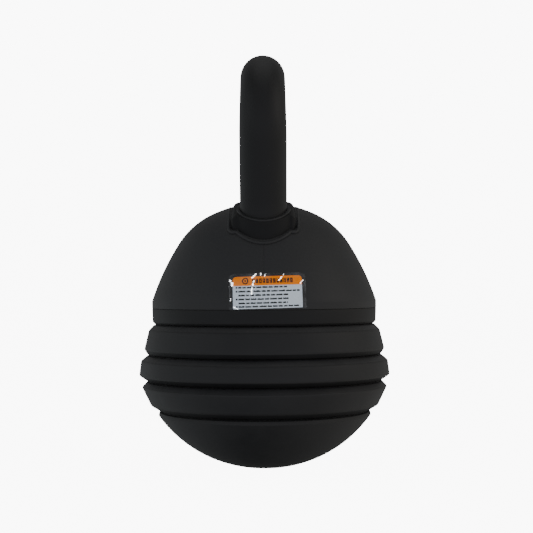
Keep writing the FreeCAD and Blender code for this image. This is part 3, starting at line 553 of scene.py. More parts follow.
# The lip's copy of the bridge's plastic, about twice as light and glossier: painted highlight along the lip
# round each leg.
LIP_PAINTED_HIGHLIGHT = moulded_black("lip_grain_painted_highlight", 0.015, 1300.0, 0.52, 0.15)
GRIP = grip_rubber()
PAD = plain_plastic("pad_rubber", 700.0, 2.0, grey(0.008), grey(0.016), 0.3, 0.8)
TURNED_STEEL = steel("turned_steel", 0.5, 0.33, (0.3, 0.3, 9.0))
PLATE_STEEL = steel("plate_steel", 0.26, 0.42, (1.0, 12.0, 1.0))
CATCH_STEEL = steel("catch_steel", 0.4, 0.36, (1.0, 7.0, 1.0))
SCREW_STEEL = steel("screw_steel", 0.3, 0.34, (1.0, 1.0, 6.0))
BRASS = brass()
ACETAL = plain_plastic("bush_plastic", 60.0, 3.0, (0.62, 0.6, 0.53, 1.0), (0.72, 0.7, 0.63, 1.0), 0.1, 0.42)
LABEL_FIELD = printed("label_field", (0.60, 0.69, 0.76, 1.0), (0.68, 0.75, 0.81, 1.0), 0.6, 0.1)
LABEL_HEADER = printed("label_header", (0.88, 0.22, 0.0, 1.0), (0.94, 0.24, 0.0, 1.0), 0.9, 0.0)
LABEL_INK = printed("label_ink", (0.008, 0.008, 0.01, 1.0), (0.015, 0.015, 0.018, 1.0), 0.7, 0.05)
DIAL_PRINT = printed("dial_print", (0.62, 0.62, 0.6, 1.0), (0.7, 0.7, 0.68, 1.0), 0.5)
FILM = clear_film("clear_film", 0.015)
# A more opaque, whitish copy of the clear sheet for its side strips: a painted faint highlight along the
# film's edges.
FILM_RIM_GLINT = clear_film("film_rim_painted_glint", 0.07)
# The creases' glowing material: painted glints on the clear sheet.
GLINT_GLOW = glowing_crease_glint()


def numbered(name, count):
    return [f"{name}_{number}" for number in range(1, count + 1)]


NODE_MATERIALS = {
    TURNED_STEEL: ["selector_shaft", *numbered("cam", 4), "cam_spacers", "shaft_end_nut", "release_rod",
                   "lock_ring", "lock_pin", "return_spring", "handle_core"],
    PLATE_STEEL: ["chassis_plate", "lock_plate"],
    CATCH_STEEL: [*numbered("catch_ring", 4), *numbered("guide_dowels", 4)],
    SCREW_STEEL: [*numbered("catch_screws", 4), "dial_screw", "base_cover_screws", "dome_screws",
                  "lock_plate_screws", "handle_washers", "handle_nuts"],
    BRASS: ["thrust_washer"],
    ACETAL: ["dial_bush", "shaft_bush"],
    PAD: [*numbered("rattle_pads", 3), "base_cover_pads"],
}


def paint_cad_nodes():
    """Give every CAD node that stays in view its finish."""
    for material, names in NODE_MATERIALS.items():
        for name in names:
            mesh = nodes[name].data
            mesh.materials.clear()
            mesh.materials.append(material)


# ---------------------------------------------------------------- the four weights

# Each ring weight's radius at its lower face, the two edges of its band and its upper face.
RING_SHAPES = {
    1: {"neck_low": 87.6, "edge_low": 90.0, "edge_high": 86.6, "neck_high": 82.7},
    2: {"neck_low": 87.9, "edge_low": 93.9, "edge_high": 92.5, "neck_high": 87.6},
    3: {"neck_low": 78.6, "edge_low": 85.3, "edge_high": 91.8, "neck_high": 87.9},
}
EDGE_HEIGHT = 4.0
WEIGHT_BODIES = {4: "bottom_weight_unit", 3: "ring_weight_3_unit", 2: "ring_weight_2_unit",
                 1: "ring_weight_1_unit"}


def holes(radius, angles, low, high, steps):
    """Cutters for round holes on the dowels' ring."""
    return [disc_cutter(radius, *around(DOWEL_RING, angle), low, high, steps) for angle in angles]


def seat_cutters(top):
    """Holes for the guide dowels in a weight's top face."""
    return holes(DOWEL_HOLE, DOWEL_ANGLES, top - 8.0, top + PAST, 32)


def underside_cutters(bottom):
    """Sockets and pad recesses in a weight's under face."""
    sockets = holes(DOWEL_SOCKET, DOWEL_ANGLES, bottom - PAST, bottom + 6.0, 40)
    return sockets + holes(PAD_RECESS, PAD_ANGLES, bottom - PAST, bottom + 1.2, 48)


def paint_bevel_shade_and_light(piece, lower, upper):
    """Painted shade and light on a weight's bevels: the bevel under its band takes a darker, duller copy of
    the coat as painted groove shade, and the one above it a paler copy as painted light.
    """
    for face in piece.data.polygons:
        if face.center.z < lower * MM:
            face.material_index = 1
        elif face.center.z > upper * MM and face.normal.z < 0.9:
            face.material_index = 2


def catch_seat(neck, high):
    """A weight's top from its neck inwards: a low rim that nearly closes the gap, then the catch's seat."""
    rim_top = high + 0.6
    seat = high - CATCH_THICKNESS
    seat_radius = CATCH_RADIUS + 0.05
    return [
        (neck, high),
        (neck - 1.1, high),
        (neck - 1.4, rim_top),
        (neck - 4.0, rim_top),
        (neck - 4.3, high),
        (seat_radius, high),
        (seat_radius, seat),
        (BORE_RADIUS, seat),
    ]


def ring_weight(number):
    shape = RING_SHAPES[number]
    low, high = WEIGHT_TOP[number + 1] + WEIGHT_GAP, WEIGHT_TOP[number]
    outline = rounded([
        (BORE_RADIUS, low),
        (shape["neck_low"], low),
        (shape["edge_low"], low + EDGE_HEIGHT),
        (shape["edge_high"], high - EDGE_HEIGHT),
        *catch_seat(shape["neck_high"], high),
    ], 1.1)
    piece = lathe(f"ring_weight_{number}", outline)
    carve(piece, seat_cutters(high) + underside_cutters(low))
    finish(piece, [IRON, SHADED_GROOVE_IRON, LIT_BEVEL_IRON], WEIGHT_BODIES[number], "weight_iron", f"weight_{number}")
    # The bevels take the darker and paler copies of the coat: painted groove shade below each band, painted
    # light above it.
    paint_bevel_shade_and_light(piece, low + EDGE_HEIGHT - 0.6, high - EDGE_HEIGHT + 0.6)


def bottom_weight():
    high = WEIGHT_TOP[4]
    floor = bottom_of("selector_shaft") - 4.0
    outline = [
        (BOWL_HOLE, 0.0),
        (FOOT_RADIUS, 0.0),
        (BOWL_EDGE, high - 3.0, -BOWL_RADIUS),
        (BOWL_EDGE, high - 2.2),
        (BOWL_EDGE - 0.5, high - 0.5),
        *catch_seat(BOWL_EDGE - 1.1, high),
        (BORE_RADIUS, floor),
        (BOWL_HOLE, floor),
    ]
    piece = lathe("bottom_weight", outline)
    carve(piece, seat_cutters(high))
    finish(piece, [IRON], WEIGHT_BODIES[4], "weight_iron", "weight_4")


# ---------------------------------------------------------------- dome, cover and label

def dome_arc_ends(offset):
    """The dome's outside as arc ends, moved outwards by an offset, from the crown to the rim."""
    points = [(0.0, DOME_TOP + offset)]
    centre = Vector((0.0, DOME_TOP - DOME_ARCS[0][0]))
    for index, (radius, angle) in enumerate(DOME_ARCS):
        if index + 1 < len(DOME_ARCS):
            direction = Vector((math.sin(math.radians(angle)), math.cos(math.radians(angle))))
            end = centre + direction * (radius + offset)
            points.append((end.x, end.y, radius + offset))
            centre = centre + direction * (radius - DOME_ARCS[index + 1][0])
        else:
            rise = RIM_TOP - centre.y
            reach = math.sqrt((radius + offset) ** 2 - rise ** 2)
            points.append((centre.x + reach, RIM_TOP, radius + offset))
    return points


def dome_outline(offset):
    return dome_arc_ends(offset) + [(RIM_RADIUS + offset, RIM_TOP - 0.6)]


def backwards(points):
    """The same outline run the other way, its arcs bulging to the other side of the way."""
    result = []
    for index in range(len(points) - 1, -1, -1):
        arrived = points[index + 1] if index + 1 < len(points) else ()
        arc = -arrived[2] if len(arrived) > 2 else None
        result.append((points[index][0], points[index][1], arc))
    return result


def bridge_plan(grow=0.0):
    """The bridge's outline from above: a bar with a rounded nose round each leg and ears beside it."""
    ear = Vector((BRIDGE_HALF_WIDTH - BRIDGE_EAR_RADIUS, BRIDGE_EAR_PLACE))
    nose = Vector((0.0, BRIDGE_NOSE_PLACE))
    ear_reach = BRIDGE_EAR_RADIUS + BRIDGE_NOTCH_RADIUS
    nose_reach = BRIDGE_NOSE_RADIUS + BRIDGE_NOTCH_RADIUS
    apart = (ear - nose).length
    along = (nose_reach ** 2 - ear_reach ** 2 + apart ** 2) / apart / 2.0
    aside = math.sqrt(nose_reach ** 2 - along ** 2)
    way = (ear - nose) / apart
    notch = nose + way * along + Vector((-way.y, way.x)) * aside
    ear_end = ear + (notch - ear).normalized() * (BRIDGE_EAR_RADIUS + grow)
    nose_end = nose + (notch - nose).normalized() * (BRIDGE_NOSE_RADIUS + grow)
    side_x = BRIDGE_HALF_WIDTH + grow
    points = []
    for end in (1.0, -1.0):
        points += [
            (side_x * end, ear.y * end),
            (ear_end.x * end, ear_end.y * end, -BRIDGE_EAR_RADIUS - grow),
            (nose_end.x * end, nose_end.y * end, BRIDGE_NOTCH_RADIUS - grow),
            (-nose_end.x * end, nose_end.y * end, -BRIDGE_NOSE_RADIUS - grow),
            (-ear_end.x * end, ear_end.y * end, BRIDGE_NOTCH_RADIUS - grow),
            (-side_x * end, ear.y * end, -BRIDGE_EAR_RADIUS - grow),
        ]
    return trace(points)


def dome_half(side):
    """One half shell, parted on the handle's plane and notched for the bridge."""
    word = "left" if side < 0 else "right"
    edge = 0.35
    outside = dome_outline(0.0) + [(RIM_RADIUS, SEAM + edge), (RIM_RADIUS - edge, SEAM + 0.05)]
    inside = dome_outline(-SHELL_WALL) + [(RIM_RADIUS - SHELL_WALL, SEAM + 0.05)]
    piece = lathe(f"dome_half_{word}", outside + backwards(inside), segments=288)
    parting, reach = 0.05, 120.0
    near, far = parting * side, reach * side
    plan = [(near, -reach), (far, -reach), (far, reach), (near, reach)]
    if side < 0:
        plan.reverse()
    carve(piece, [prism("half", plan, SEAM - 5.0, DOME_TOP + 5.0)], "INTERSECT")
    opening = prism("opening", bridge_plan(0.25), BRIDGE_BOTTOM - 5.0, DOME_TOP + 12.0)
    carve(piece, [opening])
    soften(piece, 0.12, 2, 60.0)
    finish(piece, [SHELL], "handle_unit", "dome_shell", f"dome_shell_{word}")


def base_cover():
    floor = COVER_BOTTOM + COVER_FLOOR
    lip = RIM_RADIUS - SHELL_WALL - 0.2
    lip_top = SEAM + 4.0
    outline = rounded([
        (COVER_BORE, COVER_BOTTOM),
        (82.2, COVER_BOTTOM),
        (83.7, COVER_BOTTOM + 1.7),
        (RIM_RADIUS, SEAM),
        (lip, SEAM),
        (lip, lip_top),
        (lip - 2.5, lip_top),
        (lip - 2.5, floor),
        (COVER_BOSS, floor),
        (COVER_BOSS, floor + 4.0),
        (COVER_BORE, floor + 4.0),
    ], 0.4, 3)
    piece = lathe("base_cover_shell", outline, segments=288)
    cutters = underside_cutters(COVER_BOTTOM)
    for index in range(COVER_SCREWS):
        x, y = around(COVER_SCREW_RING, 45.0 + 360.0 / COVER_SCREWS * index)
        cutters.append(disc_cutter(COVER_SCREW_HOLE, x, y, COVER_BOTTOM - PAST, floor + PAST, 32))
    carve(piece, cutters)
    finish(piece, [COVER], "handle_unit", "cover_plastic", "base_cover")


def crossing(outline, value, known, wanted):
    """The wanted coordinate of an outline where its known one first reaches a value."""
    for first, second in zip(outline, outline[1:]):
        low, high = sorted((first[known], second[known]))
        if low <= value <= high and low < high:
            share = (value - first[known]) / (second[known] - first[known])
            return first[wanted] + (second[wanted] - first[wanted]) * share
    raise ValueError(f"the outline doesn't reach {value}")


def dome_radius(level, offset=0.0):
    """The dome's outside radius at a height."""
    outline = trace(dome_outline(offset) + [(RIM_RADIUS + offset, SEAM), (0.0, SEAM)])
    return crossing(outline, level, 1, 0)


def dome_level(radius):
    """The height of the dome's outside at a distance from its axis."""
    return crossing(trace(dome_outline(0.0) + [(0.0, SEAM)]), radius, 0, 1)


def on_dome(across, level, offset):
    """A place on the front of the dome in metres, from millimetres along and up it."""
    level = max(level, SEAM + 0.05)
    radius = dome_radius(level, offset)
    angle = across / dome_radius(level)
    return Vector((radius * math.sin(angle), -radius * math.cos(angle), level)) * MM


def dome_patch(name, materials, cell_material, width, low, high, middle, thickness, lift, cell, corner,
               ripple=None):
    """A thin sheet on the front of the dome, slightly askew, in cells that each take a material."""
    columns, rows = round(width / cell), round((high - low) / cell)
    work = bmesh.new()

    def spot(column, row, offset):
        level = low + (high - low) * row / rows
        over = max(level - (high - corner), 0.0)
        inset = corner - math.sqrt(max(corner * corner - over * over, 0.0))
        across = (middle - width / 2 + inset) + (width - 2 * inset) * column / columns
        height = offset + (ripple(across, level) if ripple else 0.0)
        rise = (across - middle) * math.sin(LABEL_TILT)
        slip = (level - (low + high) / 2.0) * math.sin(LABEL_TILT)
        return on_dome(across - slip, level + rise, height)

    layers = []
    for offset in (lift, lift + thickness):
        layers.append([[work.verts.new(spot(column, row, offset)) for column in range(columns + 1)]
                       for row in range(rows + 1)])
    under, over = layers
    for row in range(rows):
        for column in range(columns):
            face = work.faces.new((over[row][column], over[row][column + 1],
                                   over[row + 1][column + 1], over[row + 1][column]))
            face.material_index = cell_material(column, row, columns, rows)
            work.faces.new((under[row][column], under[row + 1][column],
                            under[row + 1][column + 1], under[row][column + 1]))
    for column in range(columns):
        for row, flip in ((0, False), (rows, True)):
            loop = [under[row][column], under[row][column + 1], over[row][column + 1], over[row][column]]
            work.faces.new(reversed(loop) if flip else loop)
    for row in range(rows):
        for column, flip in ((0, True), (columns, False)):
            loop = [under[row][column], under[row + 1][column], over[row + 1][column], over[row][column]]
            work.faces.new(reversed(loop) if flip else loop)
    piece = piece_from(name, work)
    for material in materials:
        piece.data.materials.append(material)
    return piece


def label_pattern():
    """Which cells of the label are ink: an orange header with a block mark, then lines of dashes."""
    rng = random.Random(7)
    header_share = 0.285
    line_count = 6
    ink = {}

    def pattern(column, row, columns, rows):
        if not ink:
            ink["cells"] = set()
            fill_header(columns, rows)
            fill_lines(columns, rows)
        if (column, row) in ink["cells"]:
            return 2
        return 1 if row >= rows * (1.0 - header_share) else 0

    def fill_header(columns, rows):
        """A ring-shaped mark, then a row of broken blocks."""
        middle = rows * (1.0 - header_share / 2.0)
        tall = rows * header_share * 0.34
        centre = columns * 0.18
        for column in range(int(centre - tall) - 1, int(centre + tall) + 2):
            for row in range(int(middle - tall) - 1, int(middle + tall) + 2):
                reach = math.hypot(column - centre, row - middle) / tall
                if 0.66 < reach < 1.05 or reach < 0.3:
                    ink["cells"].add((column, row))
        column = int(columns * 0.29)
        while column < columns * 0.83:
            for step in range(6):
                for row in range(int(middle - tall * 0.75), int(middle + tall * 0.75) + 1):
                    if step in (0, 1, 4, 5) or rng.random() < 0.6:
                        ink["cells"].add((column + step, row))
            column += 8

    def fill_lines(columns, rows):
        """Lines of short dashes, some of them led by a dot."""
        field = rows * (1.0 - header_share)
        for line in range(line_count):
            base = round(field * (1.0 - (line + 0.6) / line_count)) - 1
            if line in (0, 1, 3, 5):
                dot = int(columns * 0.045)
                ink["cells"].update((dot + step, base + lift) for step in range(4) for lift in range(4))
            end = columns * (0.96 if line in (1, 5) else rng.uniform(0.75, 0.8))
            column = int(columns * 0.085)
            while column < end:
                word = rng.randint(7, 17)
                for step in range(word):
                    if column + step < end:
                        tall = 4 if rng.random() < 0.5 else 3
                        ink["cells"].update((column + step, base + lift) for lift in range(tall))
                column += word + 2

    return pattern


def label():
    low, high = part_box("label")
    width, bottom, top = (high.x - low.x) / MM, low.z / MM, high.z / MM
    middle = (high.x + low.x) / 2.0 / MM
    piece = dome_patch("rating_label", (LABEL_FIELD, LABEL_HEADER, LABEL_INK), label_pattern(),
                       width, bottom, top, middle, thickness=0.2, lift=0.06, cell=0.30, corner=2.6)
    attach(piece, "handle_unit", "label_film", "label")

    def crinkle(across, level):
        edge = max(abs(across - middle) - width / 2 + 1.0, level - top + 1.0, 0.0)
        wave = math.sin(across * 2.1 + level * 1.3) * math.sin(level * 2.7 - across * 0.8)
        return 0.12 * min(edge, 2.0) * (0.6 + wave)

    # The side columns of the sheet take the whiter copy: painted highlight along its edges.
    def rim(column, row, columns, rows):
        return 1 if column in (0, columns - 1) and row < rows * 0.8 else 0

    film = dome_patch("label_overfilm", (FILM, FILM_RIM_GLINT), rim, width + 5.0, bottom - 0.6, top + 2.0, middle,
                      thickness=0.05, lift=0.32, cell=0.5, corner=3.0, ripple=crinkle)
    attach(film, "handle_unit", "label_film")
    film_creases(middle - width / 2.0, bottom, width, top - bottom)


# Where the clear sheet is creased: start and end as shares of the label's width and height, and width.
CREASES = (
    ((0.33, 1.09), (0.29, 0.93), 1.7),
    ((0.30, 0.89), (0.285, 0.70), 1.2),
    ((0.285, 0.66), (0.265, 0.42), 0.8),
    ((0.40, 1.10), (0.41, 1.02), 0.8),
    ((0.465, 1.08), (0.46, 0.99), 0.5),
    ((0.735, 1.07), (0.72, 1.02), 0.6),
    ((0.70, 0.99), (0.65, 0.86), 1.3),
    ((-0.03, 0.90), (-0.02, 0.68), 1.9),
    ((-0.035, 0.32), (-0.03, 0.22), 0.7),
    ((0.01, 0.05), (0.05, 0.0), 0.9),
    ((0.05, 0.0), (0.075, -0.03), 0.7),
    ((1.02, 0.88), (0.965, 0.76), 0.9),
)


def film_creases(left, bottom, width, height):
    """Broken ridges in the clear sheet, each a few scraps that are thick in the middle."""
    rng = random.Random(11)
    work = bmesh.new()
    steps = 5

    def scrap(start, end, breadth, first_share, last_share):
        sections = []
        drift = rng.uniform(-0.3, 0.3) * breadth
        for step in range(steps + 1):
            share = first_share + (last_share - first_share) * step / steps
            across = left + (start[0] + (end[0] - start[0]) * share) * width + drift
            level = bottom + (start[1] + (end[1] - start[1]) * share) * height
            half = breadth / 2.0 * math.sin(math.pi * (0.08 + 0.84 * step / steps)) * rng.uniform(0.5, 1.1)
            across += rng.uniform(-0.2, 0.2) * breadth
            sections.append([work.verts.new(on_dome(across - half, level, 0.45)),
                             work.verts.new(on_dome(across, level, 0.45 + half * 0.6)),
                             work.verts.new(on_dome(across + half, level, 0.45)),
                             work.verts.new(on_dome(across, level, 0.3))])
        skin(work, sections)

    for start, end, breadth in CREASES:
        scraps = rng.randint(2, 4)
        for number in range(scraps):
            first_share = (number + rng.uniform(0.0, 0.2)) / scraps
            last_share = (number + rng.uniform(0.75, 1.15)) / scraps
            scrap(start, end, breadth, first_share, last_share)
    piece = piece_from("film_creases", work, smooth=False)
    # The ridges take the glowing crease material: painted glints.
    finish(piece, [GLINT_GLOW], "handle_unit", "label_film")


# ---------------------------------------------------------------- handle and bridge

def handle_centreline():
    """The loop's centreline in the handle's plane as (y, z), from the left foot to the right one."""
    top = HANDLE_TOP - TOP_GRIP_RADIUS
    lean, bend, corner, arch = LEG_LEAN, LEG_BEND_RADIUS, CORNER_RADIUS, TOP_ARCH_RADIUS
    start_y = LEG_PLACE + bend * (1 - math.cos(lean))
    start_z = LEG_BEND_LEVEL + bend * math.sin(lean)
    line_y = start_y - corner * math.cos(lean)
    line_z = start_z + corner * math.sin(lean) - (top - arch)
    along = line_y * math.sin(lean) + line_z * math.cos(lean)
    reach = -along + math.sqrt(along ** 2 + (arch - corner) ** 2 - line_y ** 2 - line_z ** 2)
    centre = Vector((line_y + reach * math.sin(lean), line_z + reach * math.cos(lean) + top - arch))
    crest = math.asin(centre.x / (arch - corner))
    half = [Vector((LEG_PLACE, bottom_of("handle_grip"))), Vector((LEG_PLACE, LEG_BEND_LEVEL))]
    bend_steps, corner_steps, arch_steps = 12, 48, 12
    for index in range(1, bend_steps + 1):
        angle = lean * index / bend_steps
        aside, rise = bend * (1 - math.cos(angle)), bend * math.sin(angle)
        half.append(Vector((LEG_PLACE + aside, LEG_BEND_LEVEL + rise)))
    for index in range(corner_steps + 1):
        angle = -lean + (lean + math.pi / 2 - crest) * index / corner_steps
        half.append(centre + Vector((math.cos(angle), math.sin(angle))) * corner)
    for index in range(1, arch_steps + 1):
        angle = crest * (1 - index / arch_steps)
        half.append(Vector((arch * math.sin(angle), top - arch + arch * math.cos(angle))))
    left = [Vector((-point.x, point.y)) for point in half]
    return left + half[-2::-1]


def grip_radius_at(level):
    """The grip is a little thicker on its legs than along its top."""
    share = min(max((level - TAPER_LEVEL) / TAPER_HEIGHT, 0.0), 1.0)
    return LEG_RADIUS + (TOP_GRIP_RADIUS - LEG_RADIUS) * share * share * (3.0 - 2.0 * share)


def grip_tube(name, grow=0.0, sides=96):
    """The grip as a round bar along its centreline, closed at both ends."""
    work = bmesh.new()
    rings = []
    path = handle_centreline()
    count = len(path)
    for index, point in enumerate(path):
        radius = grip_radius_at(point.y) + grow
        before, after = path[max(index - 1, 0)], path[min(index + 1, count - 1)]
        way = (after - before).normalized()
        across = Vector((-way.y, way.x))
        ring = []
        for side in range(sides):
            angle = TURN * side / sides
            out = across * (math.cos(angle) * radius)
            ring.append(work.verts.new((math.sin(angle) * radius * MM, (point.x + out.x) * MM,
                                        (point.y + out.y) * MM)))
        rings.append(ring)
    skin(work, rings)
    return piece_from(name, work)


def grip():
    piece = grip_tube("grip_moulding")
    finish(piece, [GRIP], "handle_unit", "grip_rubber", "handle_grip")


def arch_level(y):
    """The height of the bridge's arched top at a place along it."""
    return BRIDGE_TOP - BRIDGE_ARCH_RADIUS + math.sqrt(BRIDGE_ARCH_RADIUS ** 2 - y * y)


def ring_tube(name, spots, radius, sides=14):
    """A closed round bead through a loop of places, all in millimetres."""
    work = bmesh.new()
    rings = []
    count = len(spots)
    for index, spot in enumerate(spots):
        way = (spots[(index + 1) % count] - spots[index - 1]).normalized()
        out = Vector((0.0, 0.0, 1.0)).cross(way).normalized()
        up = way.cross(out)
        ring = []
        for turn in range(sides):
            angle = TURN * turn / sides
            ring.append(work.verts.new((spot + (out * math.cos(angle) + up * math.sin(angle)) * radius) * MM))
        rings.append(ring)
    skin(work, rings, closed=True)
    return piece_from(name, work, crease_degrees=180.0)


def evenly(loop, spacing):
    """Places at an even spacing round a closed loop of points."""
    lengths = [(loop[(index + 1) % len(loop)] - loop[index]).length for index in range(len(loop))]
    whole = sum(lengths)
    count = round(whole / spacing)
    places = []
    index, passed = 0, 0.0
    for step in range(count):
        goal = whole * step / count
        while passed + lengths[index] < goal:
            passed += lengths[index]
            index += 1
        share = (goal - passed) / lengths[index]
        places.append(loop[index].lerp(loop[(index + 1) % len(loop)], share))
    return places


def opening_bead():
    """A raised bead on the dome round the bridge's opening."""
    radius, gap, proud, fade = 1.3, 0.6, 0.25, 12.0
    spots = []
    for point in evenly(bridge_plan(gap + radius), 1.2):
        # The bead stands proud round the noses and sinks into the dome along the bridge's sides.
        sunk = min(max((BRIDGE_EAR_PLACE - abs(point.y)) / fade, 0.0), 1.0)
        spots.append(Vector((point.x, point.y, dome_level(point.length) + proud - radius * sunk)))
    piece = ring_tube("opening_bead", spots, radius)
    finish(piece, [SHELL], "handle_unit", "dome_shell")


def bridge_wheel(name, radius, half_width, shoulder):
    """A round-shouldered wheel about the X axis; its tread is the bridge's arched top."""
    flat = half_width - shoulder
    side = radius - shoulder
    outline = [(0.0, -half_width), (side, -half_width), (radius, -flat, -shoulder),
               (radius, flat), (side, half_width, -shoulder), (0.0, half_width)]
    wheel = lathe(name, outline, segments=480)
    wheel.data.transform(Matrix.Rotation(math.radians(90.0), 4, "Y"))
    wheel.data.transform(Matrix.Translation((0.0, 0.0, (BRIDGE_TOP - BRIDGE_ARCH_RADIUS) * MM)))
    return wheel


def lip_disc(side, top):
    return disc_cutter(BRIDGE_LIP_RADIUS, 0.0, LEG_PLACE * side, BRIDGE_BOTTOM + 8.0, top, 128)


def collar_lip(side):
    """The rounded lip that stands up round a leg, following the arch."""
    disc = lip_disc(side, BRIDGE_TOP)
    disc.name = "collar_lip_left" if side < 0 else "collar_lip_right"
    arch = bridge_wheel("arch", BRIDGE_ARCH_RADIUS + BRIDGE_LIP_RISE, BRIDGE_HALF_WIDTH, 1.0)
    carve(disc, [arch], "INTERSECT")
    soften(disc, 1.5, 6, 40.0)
    carve(disc, [grip_tube("leg", LEG_CLEARANCE)])
    # The lip takes the lighter copy of the bridge's plastic: a painted highlight.
    finish(disc, [LIP_PAINTED_HIGHLIGHT], "handle_unit", "bridge_plastic")


def bridge():
    """The arched bar round both legs, with the dial's seat in its middle."""
    above = BRIDGE_TOP + 8.0
    piece = prism("bridge_block", bridge_plan(), BRIDGE_BOTTOM, BRIDGE_TOP + 6.0)
    tread = bridge_wheel("tread", BRIDGE_ARCH_RADIUS, BRIDGE_HALF_WIDTH + 0.05, BRIDGE_SHOULDER_RADIUS)
    carve(piece, [tread], "INTERSECT")
    soften(piece, 1.5, 5, 40.0)
    carve(piece, [lip_disc(side, above) for side in (-1.0, 1.0)])
    for side in (-1.0, 1.0):
        collar_lip(side)
    bush_bottom = bottom_of("dial_bush")
    seat = disc_cutter(DIAL_RADIUS + 0.6, 0.0, 0.0, bush_bottom + 10.0, above, 96)
    hole = disc_cutter(BRIDGE_HOLE, 0.0, 0.0, BRIDGE_BOTTOM - PAST, above, 72)
    half_x, half_y = BRIDGE_HOLLOW
    plan = [(-half_x, -half_y), (half_x, -half_y), (half_x, half_y), (-half_x, half_y)]
    hollow = prism("hollow", plan, BRIDGE_BOTTOM - PAST, bush_bottom)
    carve(piece, [grip_tube("legs", LEG_CLEARANCE), seat, hole, hollow])
    piece.name = "leg_bridge"
    finish(piece, [BRIDGE], "handle_unit", "bridge_plastic", "handle_bridge")


# ---------------------------------------------------------------- dial

def number_text(text, height):
    """A flat number as a thin mesh, centred on the origin."""
    curve = bpy.data.curves.new("number", "FONT")
    curve.body = text
    curve.size = height * MM
    curve.align_x = "CENTER"
    curve.align_y = "CENTER"
    curve.extrude = 0.12 * MM
    holder = add_object("number", curve)
    bpy.context.view_layer.update()
    mesh = bpy.data.meshes.new_from_object(holder.evaluated_get(bpy.context.evaluated_depsgraph_get()))
    bpy.data.objects.remove(holder)
    return add_object("number_mesh", mesh)


def knob():
    """The dial: a grooved disc on a neck, with a thumb rib across it and a hole for the release."""
    neck, disc_height, rib_half, rib_long = 13.0, 7.4, 6.0, DIAL_RADIUS - 2.0
    low, rib_top = bottom_of("dial_knob"), top_of("dial_knob")
    disc_low = DIAL_TOP - disc_height
    outline = rounded([
        (0.0, low), (neck, low), (neck, disc_low), (DIAL_RADIUS, disc_low),
        (DIAL_RADIUS, DIAL_TOP - 0.2), (DIAL_RADIUS - 0.6, DIAL_TOP), (0.0, DIAL_TOP)], 0.5, 3)
    piece = lathe("knob", outline, segments=180)
    notch_count = 48
    notches = []
    for index in range(notch_count):
        x, y = around(DIAL_RADIUS + 0.35, 360.0 / notch_count * index)
        notches.append(disc_cutter(0.7, x, y, DIAL_TOP - 5.0, DIAL_TOP + 1.0, 10))
    carve(piece, [join("notches", notches)])
    plan = circle_plan(rib_half, 0.0, rib_long - rib_half, 24, 0.0, math.pi)
    plan += circle_plan(rib_half, 0.0, rib_half - rib_long, 24, math.pi, math.pi)
    rib = prism("rib", plan, DIAL_TOP - 1.0, rib_top)
    soften(rib, 1.2, 4, 50.0)
    carve(piece, [rib], "UNION")
    carve(piece, [disc_cutter(RELEASE_HOLE, 0.0, 0.0, DIAL_TOP - PAST, rib_top + PAST)])
    piece.name = "selector_dial"
    finish(piece, [DIAL], "selector_unit", "dial_plastic", "dial_knob")


def dial_numbers():
    """The weights in kilograms, one at each click."""
    for index, text in enumerate(DIAL_NUMBERS):
        mark = number_text(text, 3.7)
        degrees = POINTER_ANGLE - CLICK * index
        x, y = around(NUMBER_RING, degrees)
        spin = Matrix.Rotation(math.radians(degrees - 90.0), 4, "Z")
        mark.data.transform(Matrix.Translation((x * MM, y * MM, (DIAL_TOP + 0.1) * MM)) @ spin)
        mark.name = f"dial_number_{index + 1}"
        finish(mark, [DIAL_PRINT], "selector_unit", "dial_plastic")


def dial_pointer():
    """A small wedge on the bridge that points at the chosen number."""
    x, y = around(POINTER_RING, POINTER_ANGLE)
    half = 1.3
    wedge = prism("dial_pointer", [(-1.0, -half), (1.1, 0.0), (-1.0, half)], -0.6, 0.35)
    turn = Matrix.Rotation(math.radians(POINTER_ANGLE + 180.0), 4, "Z")
    wedge.data.transform(Matrix.Translation((x * MM, y * MM, arch_level(y) * MM)) @ turn)
    finish(wedge, [DIAL_PRINT], "handle_unit", "bridge_plastic")


# ---------------------------------------------------------------- stage, light and camera

def sweep_outline():
    """Half the studio sweep, from the middle of its floor out and up its wall, in metres."""
    radius, bend, height, steps = 3.2, 1.2, 5.0, 24
    points = [(0.0, 0.0), (radius - bend, 0.0)]
    for index in range(1, steps + 1):
        angle = math.pi / 2 * index / steps
        points.append((radius - bend + bend * math.sin(angle), bend * (1.0 - math.cos(angle))))
    return points + [(radius, height)]


def studio_sweep():
    """A round white sweep. Only the camera sees it, so that it doesn't flood the black object with light."""
    outline, sides = sweep_outline(), 96
    verts = [(0.0, 0.0, 0.0)]
    for side in range(sides):
        angle = TURN * side / sides
        verts += [(reach * math.cos(angle), reach * math.sin(angle), level) for reach, level in outline[1:]]
    rings = len(outline) - 1
    faces = []
    for side in range(sides):
        here, there = 1 + side * rings, 1 + (side + 1) % sides * rings
        faces.append((0, here, there))
        for ring in range(rings - 1):
            faces.append((here + ring, here + ring + 1, there + ring + 1, there + ring))
    mesh = bpy.data.meshes.new("floor")
    mesh.from_pydata(verts, [], faces)
    mesh.shade_smooth()
    floor = add_object("floor", mesh)
    paper = Nodes("pale_paper")
    paper.set(Base_Color=(0.9, 0.9, 0.9, 1.0), Roughness=0.9,
              Emission_Color=(1.0, 1.0, 1.0, 1.0), Emission_Strength=9.0)
    floor.data.materials.append(paper.material)
    floor.visible_diffuse = False
    floor.visible_glossy = False
    floor.visible_shadow = False


